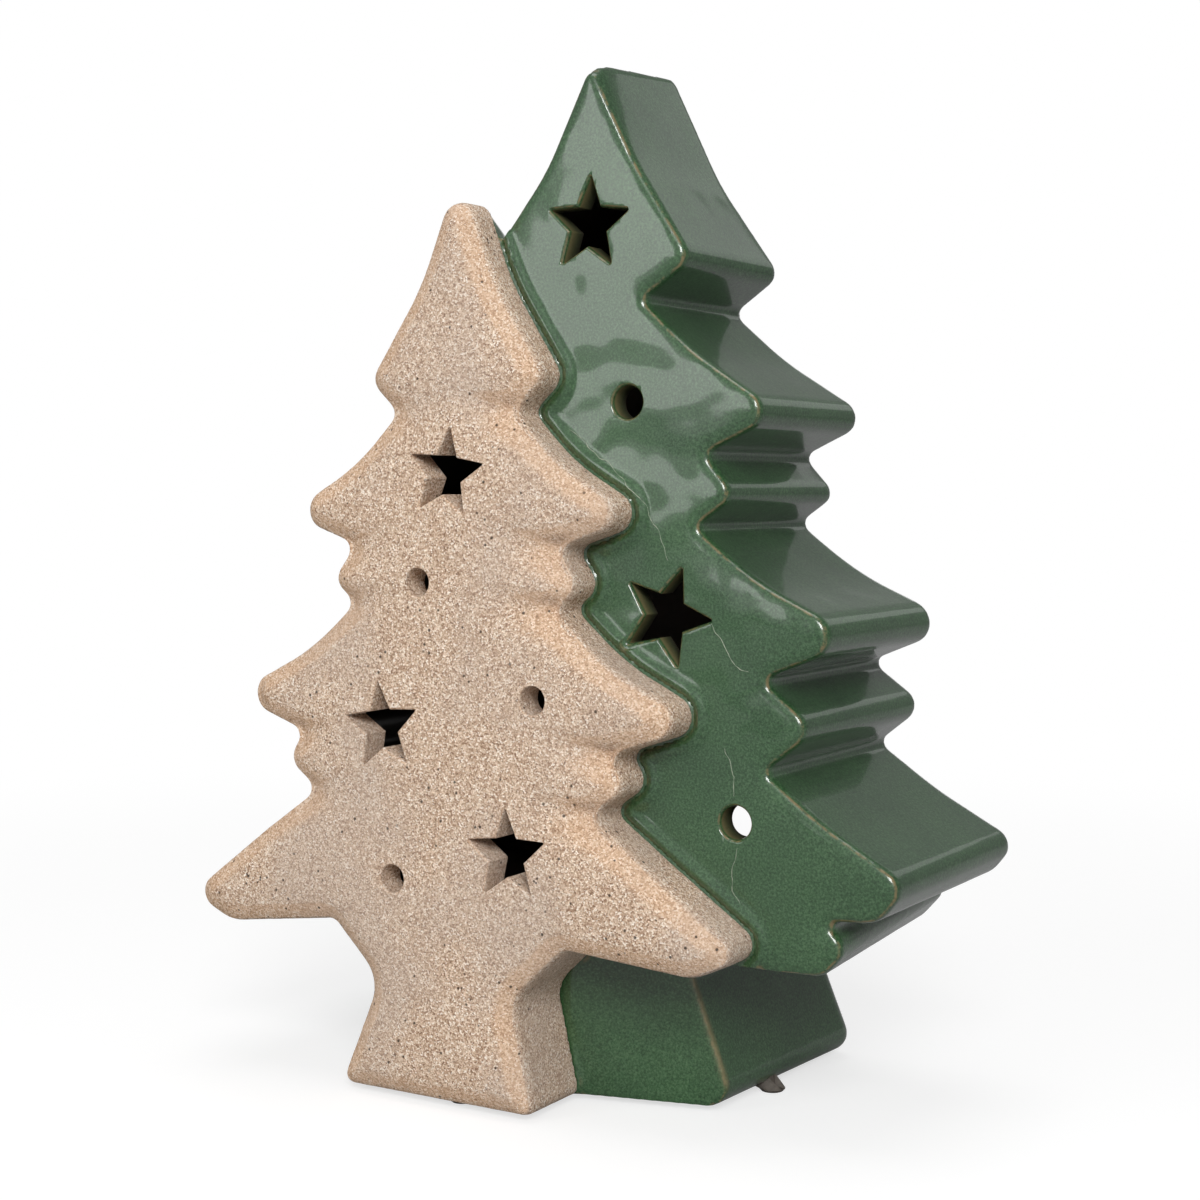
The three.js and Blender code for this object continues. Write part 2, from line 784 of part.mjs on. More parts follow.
place('large_tree_shell', largeTreeShell(), 'greenGlaze');
place('small_tree_front', smallTreeFront(), 'sandCoat');
place('small_tree_back', smallTreeBack(), 'greenGlaze');
place('rear_wall', rearWall(), 'greenGlaze');
for (const [name, at] of Object.entries(padPlaces)) {
  place(name, footPad(at), 'silicone');
}
place('tealight_housing', tealightHousing(), 'ivoryPlastic');
place('tealight_top', tealightTop(), 'wax');
place('flame_diffuser', flameDiffuser(), 'flame');
place('led_lamp', ledLamp(), 'ledResin');
place('led_lead_left', ledLead(-1), 'tinnedWire');
place('led_lead_right', ledLead(1), 'tinnedWire');
place('circuit_board', circuitBoard(), 'boardGreen');
place('coin_cell', coinCell(), 'steelCell');
place('contact_negative', contactNegative(), 'springSteel');
place('contact_positive', contactPositive(), 'springSteel');
place('base_plate', basePlate(), 'ivoryPlastic');
place('battery_hatch', batteryHatch(), 'ivoryPlastic');
place('switch_body', switchBody(), 'blackPlastic');
place('switch_knob', switchKnob(), 'blackPlastic');

// The origin is the bottom centre of the whole
const bounds = new THREE.Box3().setFromObject(group);
const centre = bounds.getCenter(new THREE.Vector3());
group.position.set(-centre.x, -centre.y, -bounds.min.z);

export default group;
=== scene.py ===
"""Looks of the lighted double christmas tree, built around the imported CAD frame.

Shapes are drawn in millimetres in the trees' own frame: the large tree's front face is the plane y = 0,
and the undersides of the trunks are the plane z = 0. to_row() takes them to the row frame, in metres.
"""

import math

import bmesh
import bpy
import numpy as np
from mathutils import Matrix, Vector, noise


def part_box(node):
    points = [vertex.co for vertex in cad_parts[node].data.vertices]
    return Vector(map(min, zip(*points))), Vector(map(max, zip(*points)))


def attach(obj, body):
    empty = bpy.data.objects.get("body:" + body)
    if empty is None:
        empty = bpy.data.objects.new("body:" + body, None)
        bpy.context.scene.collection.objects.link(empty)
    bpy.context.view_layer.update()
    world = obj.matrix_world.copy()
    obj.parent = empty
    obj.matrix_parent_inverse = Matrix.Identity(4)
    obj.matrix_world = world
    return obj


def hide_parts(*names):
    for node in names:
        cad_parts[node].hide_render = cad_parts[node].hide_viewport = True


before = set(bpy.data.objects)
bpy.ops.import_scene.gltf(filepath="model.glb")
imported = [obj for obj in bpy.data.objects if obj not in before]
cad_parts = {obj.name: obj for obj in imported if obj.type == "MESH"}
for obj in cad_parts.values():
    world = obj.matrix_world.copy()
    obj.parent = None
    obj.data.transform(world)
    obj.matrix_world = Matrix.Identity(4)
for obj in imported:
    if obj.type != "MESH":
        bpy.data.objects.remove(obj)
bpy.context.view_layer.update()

MM = 0.001

# Large green tree
LARGE_AXIS = -2.2
LARGE_APEX = 241.0
LARGE_APEX_RISE = 5.0
LARGE_APEX_ROUND = 1.9
LARGE_CREST_DEPTH = 9.0
LARGE_CREST_SPREAD = 7.0
LARGE_CREST_RISE = 2.3
LARGE_CREST_STATIONS = (3.5, 6, LARGE_CREST_DEPTH)
LARGE_WALL = 6.0
LARGE_EDGE = 1.8
LARGE_TRUNK = 28.4
HIDDEN_REACH = 33.8
TRUNK_TURN = 5.0
LOBE_TAPER = 6.0
LARGE_NOTCH_ROUND = 1.8

# Back of the lantern
REAR_DEPTH = 82.0
REAR_LEAN = 0.167
REAR_EDGE = 5.5
REAR_WALL = 5.0

# Small sand-coated tree
SMALL_AXIS = -33.0
SMALL_APEX = 220.0
SMALL_APEX_ROUND = 5.0
SMALL_SHOULDER_DROP = 17.0
SMALL_SHOULDER_DEPTH = 18.0
SMALL_SLOPE_DROP = 6.8
SMALL_LEAN = 1.4
SMALL_FRONT_WALL = 8.0
SMALL_WALL = 6.0
SMALL_FRONT = 16.0
SMALL_FRONT_LEAN = 0.025
SMALL_EDGE = 5.5
SMALL_ARMPIT = 33.0
SMALL_TRUNK_LEFT = 30.0
SMALL_TRUNK_RIGHT = 26.0
SMALL_RISE = 1.2
SMALL_NOTCH_ROUND = 2.5

# Front of the large trunk: set back, and turned away to the right
TRUNK_TOP = 38.5
TRUNK_FRONT_X = -12.0
TRUNK_FRONT_DEPTH = 8.0
TRUNK_FRONT_SLOPE = 0.26

# Doorway in the back
DOOR_X = (LARGE_AXIS + SMALL_AXIS) / 2
DOOR_WIDTH = 50.0
DOOR_SPRING = 54.0

# Light openings: centre from the tree's axis, height, radius, turn in degrees
LARGE_STARS = [(-0.2, 204.3, 11, -3), (20.5, 115.7, 11.8, -20.5)]
SMALL_STARS = [(-0.8, 147.7, 11, -6.5), (-18.2, 87.7, 11, 7), (17.9, 60.4, 11, 3)]
LARGE_HOLES = [(10.4, 163.9), (38.5, 70.6)]
SMALL_HOLES = [(-8.3, 122.2), (24.3, 96.3), (-14.4, 51.9)]
LARGE_HOLE_RADIUS = 3.75
SMALL_HOLE_RADIUS = 3.3
STAR_WAIST = 0.44
STAR_ROUND = 0.2

# Roundings of the outlines: the most of a side that one takes, the least radius, and steps along an arc
ROUND_SHARE = 0.47
LEAST_ROUND = 1.0
LEAST_ARC = 0.05
SLOPE_ROUND = 30.0
SLOPE_STEPS = 12
TIP_STEPS = 7
EDGE_STEPS = 6

# Green glazed body: voxels and faces, swell of the face, bead and groove along the sand coat, rims
GREEN_VOXEL = 0.85
GREEN_FACES = 190_000
GREEN_RELAXING = 8
FRONT_FACING = (0.3, 0.9)
FRONT_DEPTH = (2.5, 0.8)
FACE_SWELL = 0.22
FACE_SWELL_LENGTH = 3.5
BEAD_OFFSET = 2.1
BEAD_WIDTH = 1.2
BEAD_HEIGHT = 0.95
GROOVE_OFFSET = 0.5
GROOVE_WIDTH = 0.6
GROOVE_DEPTH = 0.45
RIPPLE = 0.16
RIPPLE_LENGTHS = (24.0, 9.0)
GREEN_RIM = 1.3
RIM_LINE = 0.35
DOOR_RIM = 1.6
MOUTH_FLARE = 1.6
CUT_PAST = 2.0

# Where the green glaze ends inside the hollow, and the pale line down the trunk's front edge
INSIDE_MARGIN = 1.5
GLAZE_TURN = 3.0
REAR_TURN = 2.0
RECESS_MARGIN = 4.0
TRUNK_LINE_SHARE = 0.25
TRUNK_LINE_WIDTH = 0.8
TRUNK_LINE_DEPTH = (1.8, 0.4)
TRUNK_LINE_DROP = 3.0

# Sand-coated front: voxels and faces, how far back it goes, fall of its face to the edges, valleys
SAND_VOXEL = 0.7
SAND_FACES = 180_000
SAND_RELAXING = 10
SAND_EDGE_STEPS = 8
SAND_BLANK_DEPTH = 11.0
SAND_HOLLOW_DEPTH = 20.0
SAND_LAP = 0.4
SAND_FACING = (0.2, 0.9)
SAND_KEEP = (3.0, 6.0)
SAND_SWELL = 1.0
SAND_SWELL_LENGTH = 7.0
SAND_SWELL_START = 0.6
SAND_RIM = 0.8
SAND_CUT_PAST = 3.0
VALLEY_DEPTH = 2.2
VALLEY_LENGTH = 11.0
VALLEY_UPPER = 2.4
VALLEY_LOWER = 5.5
VALLEY_RISE = 0.22
LEFT_VALLEYS = 0.55

# Grain of the sand coat: height, length and seed of each wave
GRAINS = ((0.03, 1.2, 5), (0.06, 5.0, 6))

# Overlaps of solids that are joined or cut
SEAM_OVERLAP = 0.5
HOLLOW_OVERLAP = 3.0
FAR = 300.0

# Flame of the tealight
FLAME_RADIUS = 5.6
FLAME_WALL = 0.9
FLAME_NECK = 7.0
FLAME_LIP = 0.9
FLAME_SWELL = 1.35
FLAME_STEPS = 24

# Feet: the pad under the trunk's right edge leans inwards, where the rounded edge leaves the floor
PAD_TOP = 0.35
PAD_LEAN = 2.6
PAD_SINK = 0.05
PAD_REACH = 3.0

# Hairline cracks in the glaze: points across and up on the large tree's front face, which they wander
# about, and their section
CRACKS = [
    [(-7.0, 158.1), (2.5, 150.9), (11.9, 142.3), (17.3, 133.3), (19.0, 127.5)],
    [(29.0, 115.6), (32.7, 110.7), (36.2, 105.6), (40.0, 103.8)],
    [(33.5, 87.0), (36.4, 80.8), (35.9, 75.8)],
    [(37.0, 65.2), (35.4, 58.6), (37.6, 52.0)],
]
CRACK_WIDTH = 0.2
CRACK_HEIGHT = 0.14
CRACK_STEP = 0.7
CRACK_SIDES = 6
CRACK_START_DEPTH = -5.0
WANDER = 0.9
WANDER_RATE = 0.35
TIP_SHARE = 0.35
TAPER_RATE = 0.2

# Degrees from which an edge stays sharp in the shading, and from which a small piece's edge is softened
SHARP_ANGLE = 40
SOFTEN_ANGLE = 35

BACK_SHARE = 0.96

# Distances in metres within which points of the CAD copies and of the flame become one
WELD = 1e-5
MERGE = 1e-7

# Camera, at the photograph's angle: place in the trees' frame, turns in radians, lens for the sensor
CAMERA_AT = (244.455, -401.091, 145.085)
CAMERA_YAW = 0.5451433
CAMERA_PITCH = 0.0557677
CAMERA_ROLL = 0.0033697
CAMERA_LENS = 61.634
CAMERA_SENSOR = 36
CAMERA_CLIP = (0.01, 50)

# Soft boxes: name, place in metres, width, height and watts
LIT_CENTRE = (0, 0, 0.12)
SOFT_BOXES = [
    ("key", (-0.60, -1.23, 0.57), 0.45, 0.75, 2.6),
    ("key_halo", (-0.62, -1.28, 0.59), 0.7, 0.98, 0.9),
    ("fill", (0.75, -1.15, 0.85), 0.6, 0.6, 16.5),
    ("side", (0.42, 1.22, 0.8), 0.6, 0.5, 0.35),
    ("top", (0, 0.0, 1.5), 0.9, 0.9, 5),
]

# Backdrop: where glossy rays meet it, and the even light from the front to the back
BACKDROP_EDGE = (0.90, 0.95)
AMBIENT_SPAN = (-0.6, 0.5)
AMBIENT = (0.40, 0.20)

# Floor, in metres: half size, grey, own glow as the camera sees it, and where it fades to white
FLOOR_REACH = 3.0
FLOOR_GREY = 0.4
FLOOR_GLOW = 0.66
FLOOR_FADE = (0.15, 0.6)


def row_shift():
    """Where the trees' own origin stands in the row frame."""
    shell_low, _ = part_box("large_tree_shell")
    light_low, light_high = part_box("tealight_housing")
    x = (light_low.x + light_high.x) / 2 - DOOR_X * MM
    return np.array([x, shell_low.y, shell_low.z])


SHIFT = row_shift()


def to_row(points):
    return np.asarray(points, float) * MM + SHIFT


def to_tree(points):
    return (np.asarray(points, float) - SHIFT) / MM


# Outlines: corners as half width, height and rounding, clockwise as seen from the front


def large_right(share):
    """The large tree's right side. The share goes from 0 at the front face to 1 at the back."""
    turn = share * TRUNK_TURN
    taper = share * LOBE_TAPER
    return [
        (12.0, 217.5, 60),
        (26.6, 195.2, 4),
        (13.6, 186.8, LARGE_NOTCH_ROUND),
        (26.0, 175.5, 70),
        (48.8, 160.8, 4.5),
        (29.9, 152.2, LARGE_NOTCH_ROUND),
        (37.8, 142.9, 3.5),
        (27.6, 136.0, LARGE_NOTCH_ROUND),
        (42.0, 124.5, 80),
        (68.5, 112.4, 5.5),
        (44.4, 102.6, LARGE_NOTCH_ROUND),
        (58.0, 92.3, 4.5),
        (45.2, 82.4, LARGE_NOTCH_ROUND),
        (59.0, 72.2, 90),
        (79.8, 60.4, 6),
        (72.4, 51.4, 8),
        (59.2, 50.8, 1.5),
        (66.2 - taper, 45.4, 4),
        (59.6 - taper, 38.3, 6),
        (22.0 + turn, 37.0, 3),
        (18.4 + turn, 31.0, 3),
        (LARGE_TRUNK + turn, 0, 5),
    ]


def large_corners(share, crest=0.0):
    apex = (0, LARGE_APEX + share * LARGE_APEX_RISE + crest, LARGE_APEX_ROUND)
    left = [(-HIDDEN_REACH, 0, 1), (-HIDDEN_REACH, 186.0, 3), (-26.8, 199.0, 2), (-12.0, 217.5, 60)]
    corners = [apex, *large_right(share), *left]
    return [(LARGE_AXIS + reach, z, rounding) for reach, z, rounding in corners]


def small_side(share, rise, trunk_reach):
    """The small tree's side. The share goes from 0 at the front to 1 behind, where its top is lower."""
    return [
        (10.5, 192.0 - share * SMALL_SLOPE_DROP, 60),
        (25.2, 169.6, 4.5),
        (17.0, 162.0, SMALL_NOTCH_ROUND),
        (28.0, 150.5, 70),
        (50.2, 137.8, 5),
        (29.2, 130.6, SMALL_NOTCH_ROUND),
        (35.4, 121.9, 4),
        (28.8, 116.6, SMALL_NOTCH_ROUND),
        (42.0, 105.0, 80),
        (67.2, 92.6, 6),
        (43.8, 84.6, SMALL_NOTCH_ROUND),
        (48.8, 77.5, 4.5),
        (39.4, 70.8, SMALL_NOTCH_ROUND),
        (55.0, 59.8, 90),
        (79.3, 42.0 + rise, 6.5),
        (66.0, 35.8 + rise, 12),
        (SMALL_ARMPIT, 39.5, 4),
        (19.4, 26.4, 8),
        (trunk_reach, 0, 2.5),
    ]


def small_x(sign, reach, z):
    """Across from the small tree's leaning axis, to the right for sign 1 and to the left for -1."""
    return SMALL_AXIS - SMALL_LEAN * (1 - z / SMALL_APEX) + sign * reach


def small_corners(share):
    def lean(side, sign):
        return [(small_x(sign, reach, z), z, rounding) for reach, z, rounding in side]

    apex = (SMALL_AXIS, SMALL_APEX - share * SMALL_SHOULDER_DROP, SMALL_APEX_ROUND)
    right = lean(small_side(share, SMALL_RISE, SMALL_TRUNK_RIGHT), 1)
    left = lean(small_side(share, -SMALL_RISE / 2, SMALL_TRUNK_LEFT), -1)
    return [apex, *right, *reversed(left)]


def star_corners(axis, star):
    """Five points and the five waists between them."""
    across, height, radius, turn = star
    corners = []
    for i in range(10):
        reach = STAR_WAIST * radius if i % 2 else radius
        angle = math.pi / 2 + math.radians(turn) - i * math.pi / 5
        x = axis + across + reach * math.cos(angle)
        z = height + reach * math.sin(angle)
        corners.append((x, z, STAR_ROUND))
    return corners


def circle_corners(axis, hole, radius, count=12):
    """A round hole as a polygon whose roundings make it a circle."""
    across, height = hole
    reach = radius / math.cos(math.pi / count)
    angles = [-2 * math.pi * i / count for i in range(count)]
    return [(axis + across + reach * math.cos(a), height + reach * math.sin(a), radius) for a in angles]


# Rings and lofts

def line_meet(p, d, q, e):
    """Where the line through p along d meets the line through q along e."""
    cross = d[0] * e[1] - d[1] * e[0]
    t = ((q[0] - p[0]) * e[1] - (q[1] - p[1]) * e[0]) / cross
    return p + d * t


def corner_arc(corner, to_before, to_after, asked, room, steps):
    """The points of one rounded corner, whose sides run off along to_before and to_after."""
    half = math.acos(max(-1.0, min(1.0, float(to_before @ to_after)))) / 2
    middle = to_before + to_after
    middle /= np.linalg.norm(middle)
    tangent = min(asked / math.tan(half), room)
    radius = tangent * math.tan(half)
    centre = corner + middle * (radius / math.sin(half))
    first = corner + to_before * tangent - centre
    last = corner + to_after * tangent - centre
    start = math.atan2(first[1], first[0])
    end = math.atan2(last[1], last[0])
    sweep = (end - start + math.pi) % (2 * math.pi) - math.pi
    angles = start + sweep * np.arange(steps + 1) / steps
    return centre + radius * np.stack([np.cos(angles), np.sin(angles)], 1)


def ring(corners, inset):
    """Moves every side inwards by the inset and rounds each corner to match."""
    at = np.array([c[:2] for c in corners], float)
    along = np.roll(at, -1, 0) - at
    along /= np.linalg.norm(along, axis=1)[:, None]
    moved_side = at + inset * np.stack([along[:, 1], -along[:, 0]], 1)
    count = len(corners)
    moved = np.array([
        line_meet(moved_side[i - 1], along[i - 1], moved_side[i], along[i])
        for i in range(count)
    ])
    points = []
    for i in range(count):
        before, after = moved[i - 1] - moved[i], moved[(i + 1) % count] - moved[i]
        room = ROUND_SHARE * min(np.linalg.norm(before), np.linalg.norm(after))
        before /= np.linalg.norm(before)
        after /= np.linalg.norm(after)
        outward = before[0] * after[1] - before[1] * after[0] > 0
        rounding = corners[i][2]
        least = LEAST_ROUND if outward and inset > 0 else LEAST_ARC
        asked = max(rounding - inset if outward else rounding + inset, least)
        steps = SLOPE_STEPS if rounding >= SLOPE_ROUND else TIP_STEPS
        points.append(corner_arc(moved[i], before, after, asked, room, steps))
    return np.concatenate(points)


def lift(points, depth):
    """Outline points at a depth, which is a number or goes by height."""
    y = depth(points[:, 1]) if callable(depth) else np.full(len(points), float(depth))
    return np.stack([points[:, 0], y, points[:, 1]], 1)


def make_object(name, vertices, faces):
    mesh = bpy.data.meshes.new(name)
    mesh.from_pydata([tuple(v) for v in vertices], [], faces)
    mesh.validate()
    obj = bpy.data.objects.new(name, mesh)
    bpy.context.scene.collection.objects.link(obj)
    return obj


def loft(name, rings):
    """A closed solid through rings of equal point counts, from front to rear."""
    count = len(rings[0])
    faces = []
    for r in range(len(rings) - 1):
        for i in range(count):
            a = r * count + i
            b = r * count + (i + 1) % count
            faces.append((a, b, b + count, a + count))
    faces.append(tuple(range(count))[::-1])
    last = (len(rings) - 1) * count
    faces.append(tuple(range(last, last + count)))
    obj = make_object(name, to_row(np.concatenate(rings)), faces)
    recalculate(obj)
    return obj


def recalculate(obj):
    work = bmesh.new()
    work.from_mesh(obj.data)
    bmesh.ops.triangulate(work, faces=work.faces)
    bmesh.ops.recalc_face_normals(work, faces=work.faces)
    work.to_mesh(obj.data)
    work.free()


def rear_plane(z):
    return REAR_DEPTH - REAR_LEAN * z


def small_front_plane(z):
    return SMALL_FRONT_LEAN * z - SMALL_FRONT


def edge_steps(radius, steps=EDGE_STEPS):
    """How far in and how far back a quarter-round edge is, from its face to its side."""
    angles = np.linspace(0, math.pi / 2, steps)
    return [(radius * (1 - math.sin(a)), radius * (1 - math.cos(a))) for a in angles]


def box_solid(name, low, high):
    corners = [(x, y, z) for x in (low[0], high[0]) for y in (low[1], high[1]) for z in (low[2], high[2])]
    faces = [(0, 1, 3, 2), (4, 6, 7, 5), (0, 4, 5, 1), (2, 3, 7, 6), (0, 2, 6, 4), (1, 5, 7, 3)]
    obj = make_object(name, to_row(corners), faces)
    recalculate(obj)
    return obj


def crest_rise(depth):
    """How much the top of the large tree humps up behind its front edge."""
    return LARGE_CREST_RISE * math.exp(-((depth - LARGE_CREST_DEPTH) / LARGE_CREST_SPREAD) ** 2)


def large_outside():
    front = [lift(ring(large_corners(0), inset), back) for inset, back in edge_steps(LARGE_EDGE)]
    crest = [lift(ring(large_corners(depth / REAR_DEPTH, crest_rise(depth)), 0), depth)
             for depth in LARGE_CREST_STATIONS]
    rear = [lift(ring(large_corners(1), inset), lambda z, b=back: rear_plane(z) - b)
            for inset, back in edge_steps(REAR_EDGE)]
    return loft("large_outside", [*front, *crest, *reversed(rear)])


def small_outside_back():
    seam = lift(ring(small_corners(0), 0), -SEAM_OVERLAP)
    shoulder = lift(ring(small_corners(1), 0), SMALL_SHOULDER_DEPTH)
    rear = [lift(ring(small_corners(1), inset), lambda z, b=back: rear_plane(z) - b)
            for inset, back in edge_steps(REAR_EDGE)]
    return loft("small_outside_back", [seam, shoulder, *reversed(rear)])


def inside_rear(z):
    return rear_plane(z) - REAR_WALL


def large_inside():
    return loft("large_inside", [
        lift(ring(large_corners(0), LARGE_WALL), LARGE_WALL),
        lift(ring(large_corners(1), LARGE_WALL), inside_rear),
    ])


def small_inside():
    behind = ring(small_corners(1), SMALL_WALL)
    return loft("small_inside", [
        lift(ring(small_corners(0), SMALL_WALL), -HOLLOW_OVERLAP),
        lift(behind, SMALL_SHOULDER_DEPTH),
        lift(behind, inside_rear),
    ])


def trunk_plane(x):
    """The depth of the large trunk's front."""
    return TRUNK_FRONT_DEPTH + (x - TRUNK_FRONT_X) * TRUNK_FRONT_SLOPE


def recess(name, shrink):
    """The space in front of the large trunk; shrink pulls it back all round."""
    slant = math.hypot(1, TRUNK_FRONT_SLOPE)
    back = [trunk_plane(x) - shrink * slant for x in (SMALL_AXIS, FAR)]
    top = TRUNK_TOP - shrink
    plan = [(SMALL_AXIS, -FAR), (FAR, -FAR), (FAR, back[1]), (SMALL_AXIS, back[0])]
    vertices = [(x, y, z) for z in (-FAR, top) for x, y in plan]
    faces = [(0, 1, 2, 3), (7, 6, 5, 4), (0, 4, 5, 1), (1, 5, 6, 2), (2, 6, 7, 3), (3, 7, 4, 0)]
    obj = make_object(name, to_row(vertices), faces)
    recalculate(obj)
    return obj


def trunk_zone(depth):
    """Where the sand coat reaches back beside the trunks, down to this depth."""
    high = (SMALL_AXIS + SMALL_ARMPIT, depth, TRUNK_TOP)
    return box_solid("trunk_zone", (SMALL_AXIS, -FAR, -FAR), high)


def opening_cutter(name, corners, face, through, rim, outwards=1):
    """A cutter whose mouth flares, so that the opening's rim comes out rounded.

    It starts from the depth that face gives. Its outwards is 1 at a front face and -1 at a rear one.
    """
    rings = [lift(ring(corners, -rim * MOUTH_FLARE), lambda z: face(z) - outwards * rim)]
    for grow, back in edge_steps(rim):
        rings.append(lift(ring(corners, -grow), lambda z, b=back: face(z) + outwards * b))
    rings.append(lift(ring(corners, 0), lambda z: face(z) + outwards * (rim + RIM_LINE)))
    rings.append(lift(ring(corners, 0), lambda z: face(z) + outwards * through))
    return loft(name, rings)


def doorway_corners():
    half = DOOR_WIDTH / 2
    return [
        (DOOR_X + half, LARGE_WALL, 4),
        (DOOR_X - half, LARGE_WALL, 4),
        (DOOR_X - half, DOOR_SPRING + half, half),
        (DOOR_X + half, DOOR_SPRING + half, half),
    ]


def combine(target, others, operation):
    """Joins other solids to the target, or cuts them from it, and removes them."""
    for other in others:
        modifier = target.modifiers.new("combine", "BOOLEAN")
        modifier.operation = operation
        modifier.solver = "MANIFOLD"
        modifier.object = other
        apply_modifiers(target)
        bpy.data.objects.remove(other)
    return target


def apply_modifiers(obj):
    depsgraph = bpy.context.evaluated_depsgraph_get()
    mesh = bpy.data.meshes.new_from_object(obj.evaluated_get(depsgraph))
    obj.modifiers.clear()
    old = obj.data
    obj.data = mesh
    bpy.data.meshes.remove(old)


def voxel(obj, size):
    """Remeshes a solid into even faces, which rounds what was cut."""
    modifier = obj.modifiers.new("voxel", "REMESH")
    modifier.mode = "VOXEL"
    modifier.voxel_size = size * MM * 1
    apply_modifiers(obj)


def thin_out(obj, faces):
    """Leaves out faces where the surface is plain."""
    have = sum(len(p.vertices) - 2 for p in obj.data.polygons)
    if have > faces:
        modifier = obj.modifiers.new("thin", "DECIMATE")
        modifier.ratio = faces / have
        apply_modifiers(obj)


# Mesh arrays


def points_of(obj):
    co = np.empty(len(obj.data.vertices) * 3)
    obj.data.vertices.foreach_get("co", co)
    return co.reshape(-1, 3)


def normals_of(obj):
    normal = np.empty(len(obj.data.vertices) * 3, np.float32)
    obj.data.vertex_normals.foreach_get("vector", normal)
    return normal.reshape(-1, 3).astype(float)


def set_points(obj, points):
    obj.data.vertices.foreach_set("co", np.ascontiguousarray(points, np.float32).ravel())
    obj.data.update()


def relax(obj, rounds, weight=0.5):
    """Moves each point towards the mean of its neighbours."""
    edges = np.empty(len(obj.data.edges) * 2, np.int64)
    obj.data.edges.foreach_get("vertices", edges)
    a, b = edges[::2], edges[1::2]
    co = points_of(obj)
    count = np.maximum(np.bincount(a, minlength=len(co)) + np.bincount(b, minlength=len(co)), 1)
    for turn in range(rounds):
        total = np.stack([
            np.bincount(a, co[b, k], len(co)) + np.bincount(b, co[a, k], len(co))
            for k in range(3)
        ], 1)
        move = total / count[:, None] - co
        # Every second round goes back a little less far, so that the solid hardly shrinks
        co += move * (weight if turn % 2 == 0 else -weight * BACK_SHARE)
    set_points(obj, co)


def edge_distance(points, outline):
    """Distance of flat points from an outline, and whether each is inside it."""
    start, end = outline, np.roll(outline, -1, 0)
    span = end - start
    keep = (span ** 2).sum(1) > 1e-12
    start, span, end = start[keep], span[keep], end[keep]
    length2 = (span ** 2).sum(1)
    best = np.empty(len(points))
    inside = np.empty(len(points), bool)
    batch = 20000
    for low in range(0, len(points), batch):
        p = points[low:low + batch]
        dx = p[:, None, 0] - start[None, :, 0]
        dz = p[:, None, 1] - start[None, :, 1]
        t = np.clip((dx * span[:, 0] + dz * span[:, 1]) / length2, 0, 1)
        gap2 = (dx - t * span[:, 0]) ** 2 + (dz - t * span[:, 1]) ** 2
        best[low:low + batch] = np.sqrt(gap2.min(1))
        crosses = (start[None, :, 1] > p[:, None, 1]) != (end[None, :, 1] > p[:, None, 1])
        rise = np.where(span[:, 1] == 0, 1e-9, span[:, 1])
        reach = start[:, 0] + (p[:, None, 1] - start[:, 1]) * span[:, 0] / rise
        inside[low:low + batch] = (crosses & (p[:, None, 0] < reach)).sum(1) % 2 == 1
    return best, inside


def wave(points, length, seed):
    """Smooth noise from -1 to 1 at each point, whose waves are about this long in millimetres."""
    scale = 1 / length
    offset = Vector((seed * 17.3, seed * 5.1, seed * 9.7))
    return np.array([noise.noise(Vector(p) * scale + offset) for p in points])


def smoothstep(low, high, value):
    t = np.clip((value - low) / (high - low), 0, 1)
    return t * t * (3 - 2 * t)


# Green glazed body

def glazed_face(z):
    """The depth of the large tree's front face once its glaze is on."""
    return 0 * z - FACE_SWELL - RIPPLE / 2


def large_openings():
    stars = [star_corners(LARGE_AXIS, star) for star in LARGE_STARS]
    return stars + [circle_corners(LARGE_AXIS, hole, LARGE_HOLE_RADIUS) for hole in LARGE_HOLES]


def small_openings():
    stars = [star_corners(SMALL_AXIS, star) for star in SMALL_STARS]
    return stars + [circle_corners(SMALL_AXIS, hole, SMALL_HOLE_RADIUS) for hole in SMALL_HOLES]


def cut_openings(body, outlines, face, through, rim):
    """The stars and holes are cut last, so that their edges stay crisp."""
    cutters = [opening_cutter("opening", outline, face, through, rim) for outline in outlines]
    combine(body, cutters, "DIFFERENCE")


def green_body():
    body = combine(large_outside(), [recess("recess", 0)], "DIFFERENCE")
    combine(body, [small_outside_back()], "UNION")
    combine(body, [trunk_zone(TRUNK_FRONT_DEPTH)], "DIFFERENCE")
    hollow = combine(large_inside(), [recess("recess_inside", -LARGE_WALL)], "DIFFERENCE")
    combine(hollow, [small_inside()], "UNION")
    door = opening_cutter("door", doorway_corners(), rear_plane, REAR_WALL + CUT_PAST, DOOR_RIM, -1)
    combine(body, [hollow, door], "DIFFERENCE")
    voxel(body, GREEN_VOXEL)
    relax(body, GREEN_RELAXING)
    shape_green(body)
    thin_out(body, GREEN_FACES)
    through = LARGE_WALL + CUT_PAST
    cut_openings(body, large_openings(), glazed_face, through, GREEN_RIM)
    mark_inside(body)
    mark_rims(body)
    body.name = "green_glazed_body"
    return body


def mark_inside(body):
    """Notes which points of the body lie inside the hollow, where the clay is bare of glaze and painted near
    black as shade.
    """
    points = to_tree(points_of(body))
    flat = points[:, [0, 2]]
    x, y, z = points.T
    halfway_back = 0.5
    _, in_large = edge_distance(flat, ring(large_corners(halfway_back), LARGE_WALL - INSIDE_MARGIN))
    _, in_small = edge_distance(flat, ring(small_corners(1), SMALL_WALL - INSIDE_MARGIN))
    deep = (y > GLAZE_TURN) & (y < rear_plane(z) - REAR_TURN) & (z > GLAZE_TURN)
    recessed = (z < TRUNK_TOP + RECESS_MARGIN) & (y < trunk_plane(x) + GLAZE_TURN)
    inside = (in_large | in_small) & deep & ~recessed
    attribute = body.data.attributes.new("inside", "FLOAT", "POINT")
    attribute.data.foreach_set("value", inside.astype(np.float32))


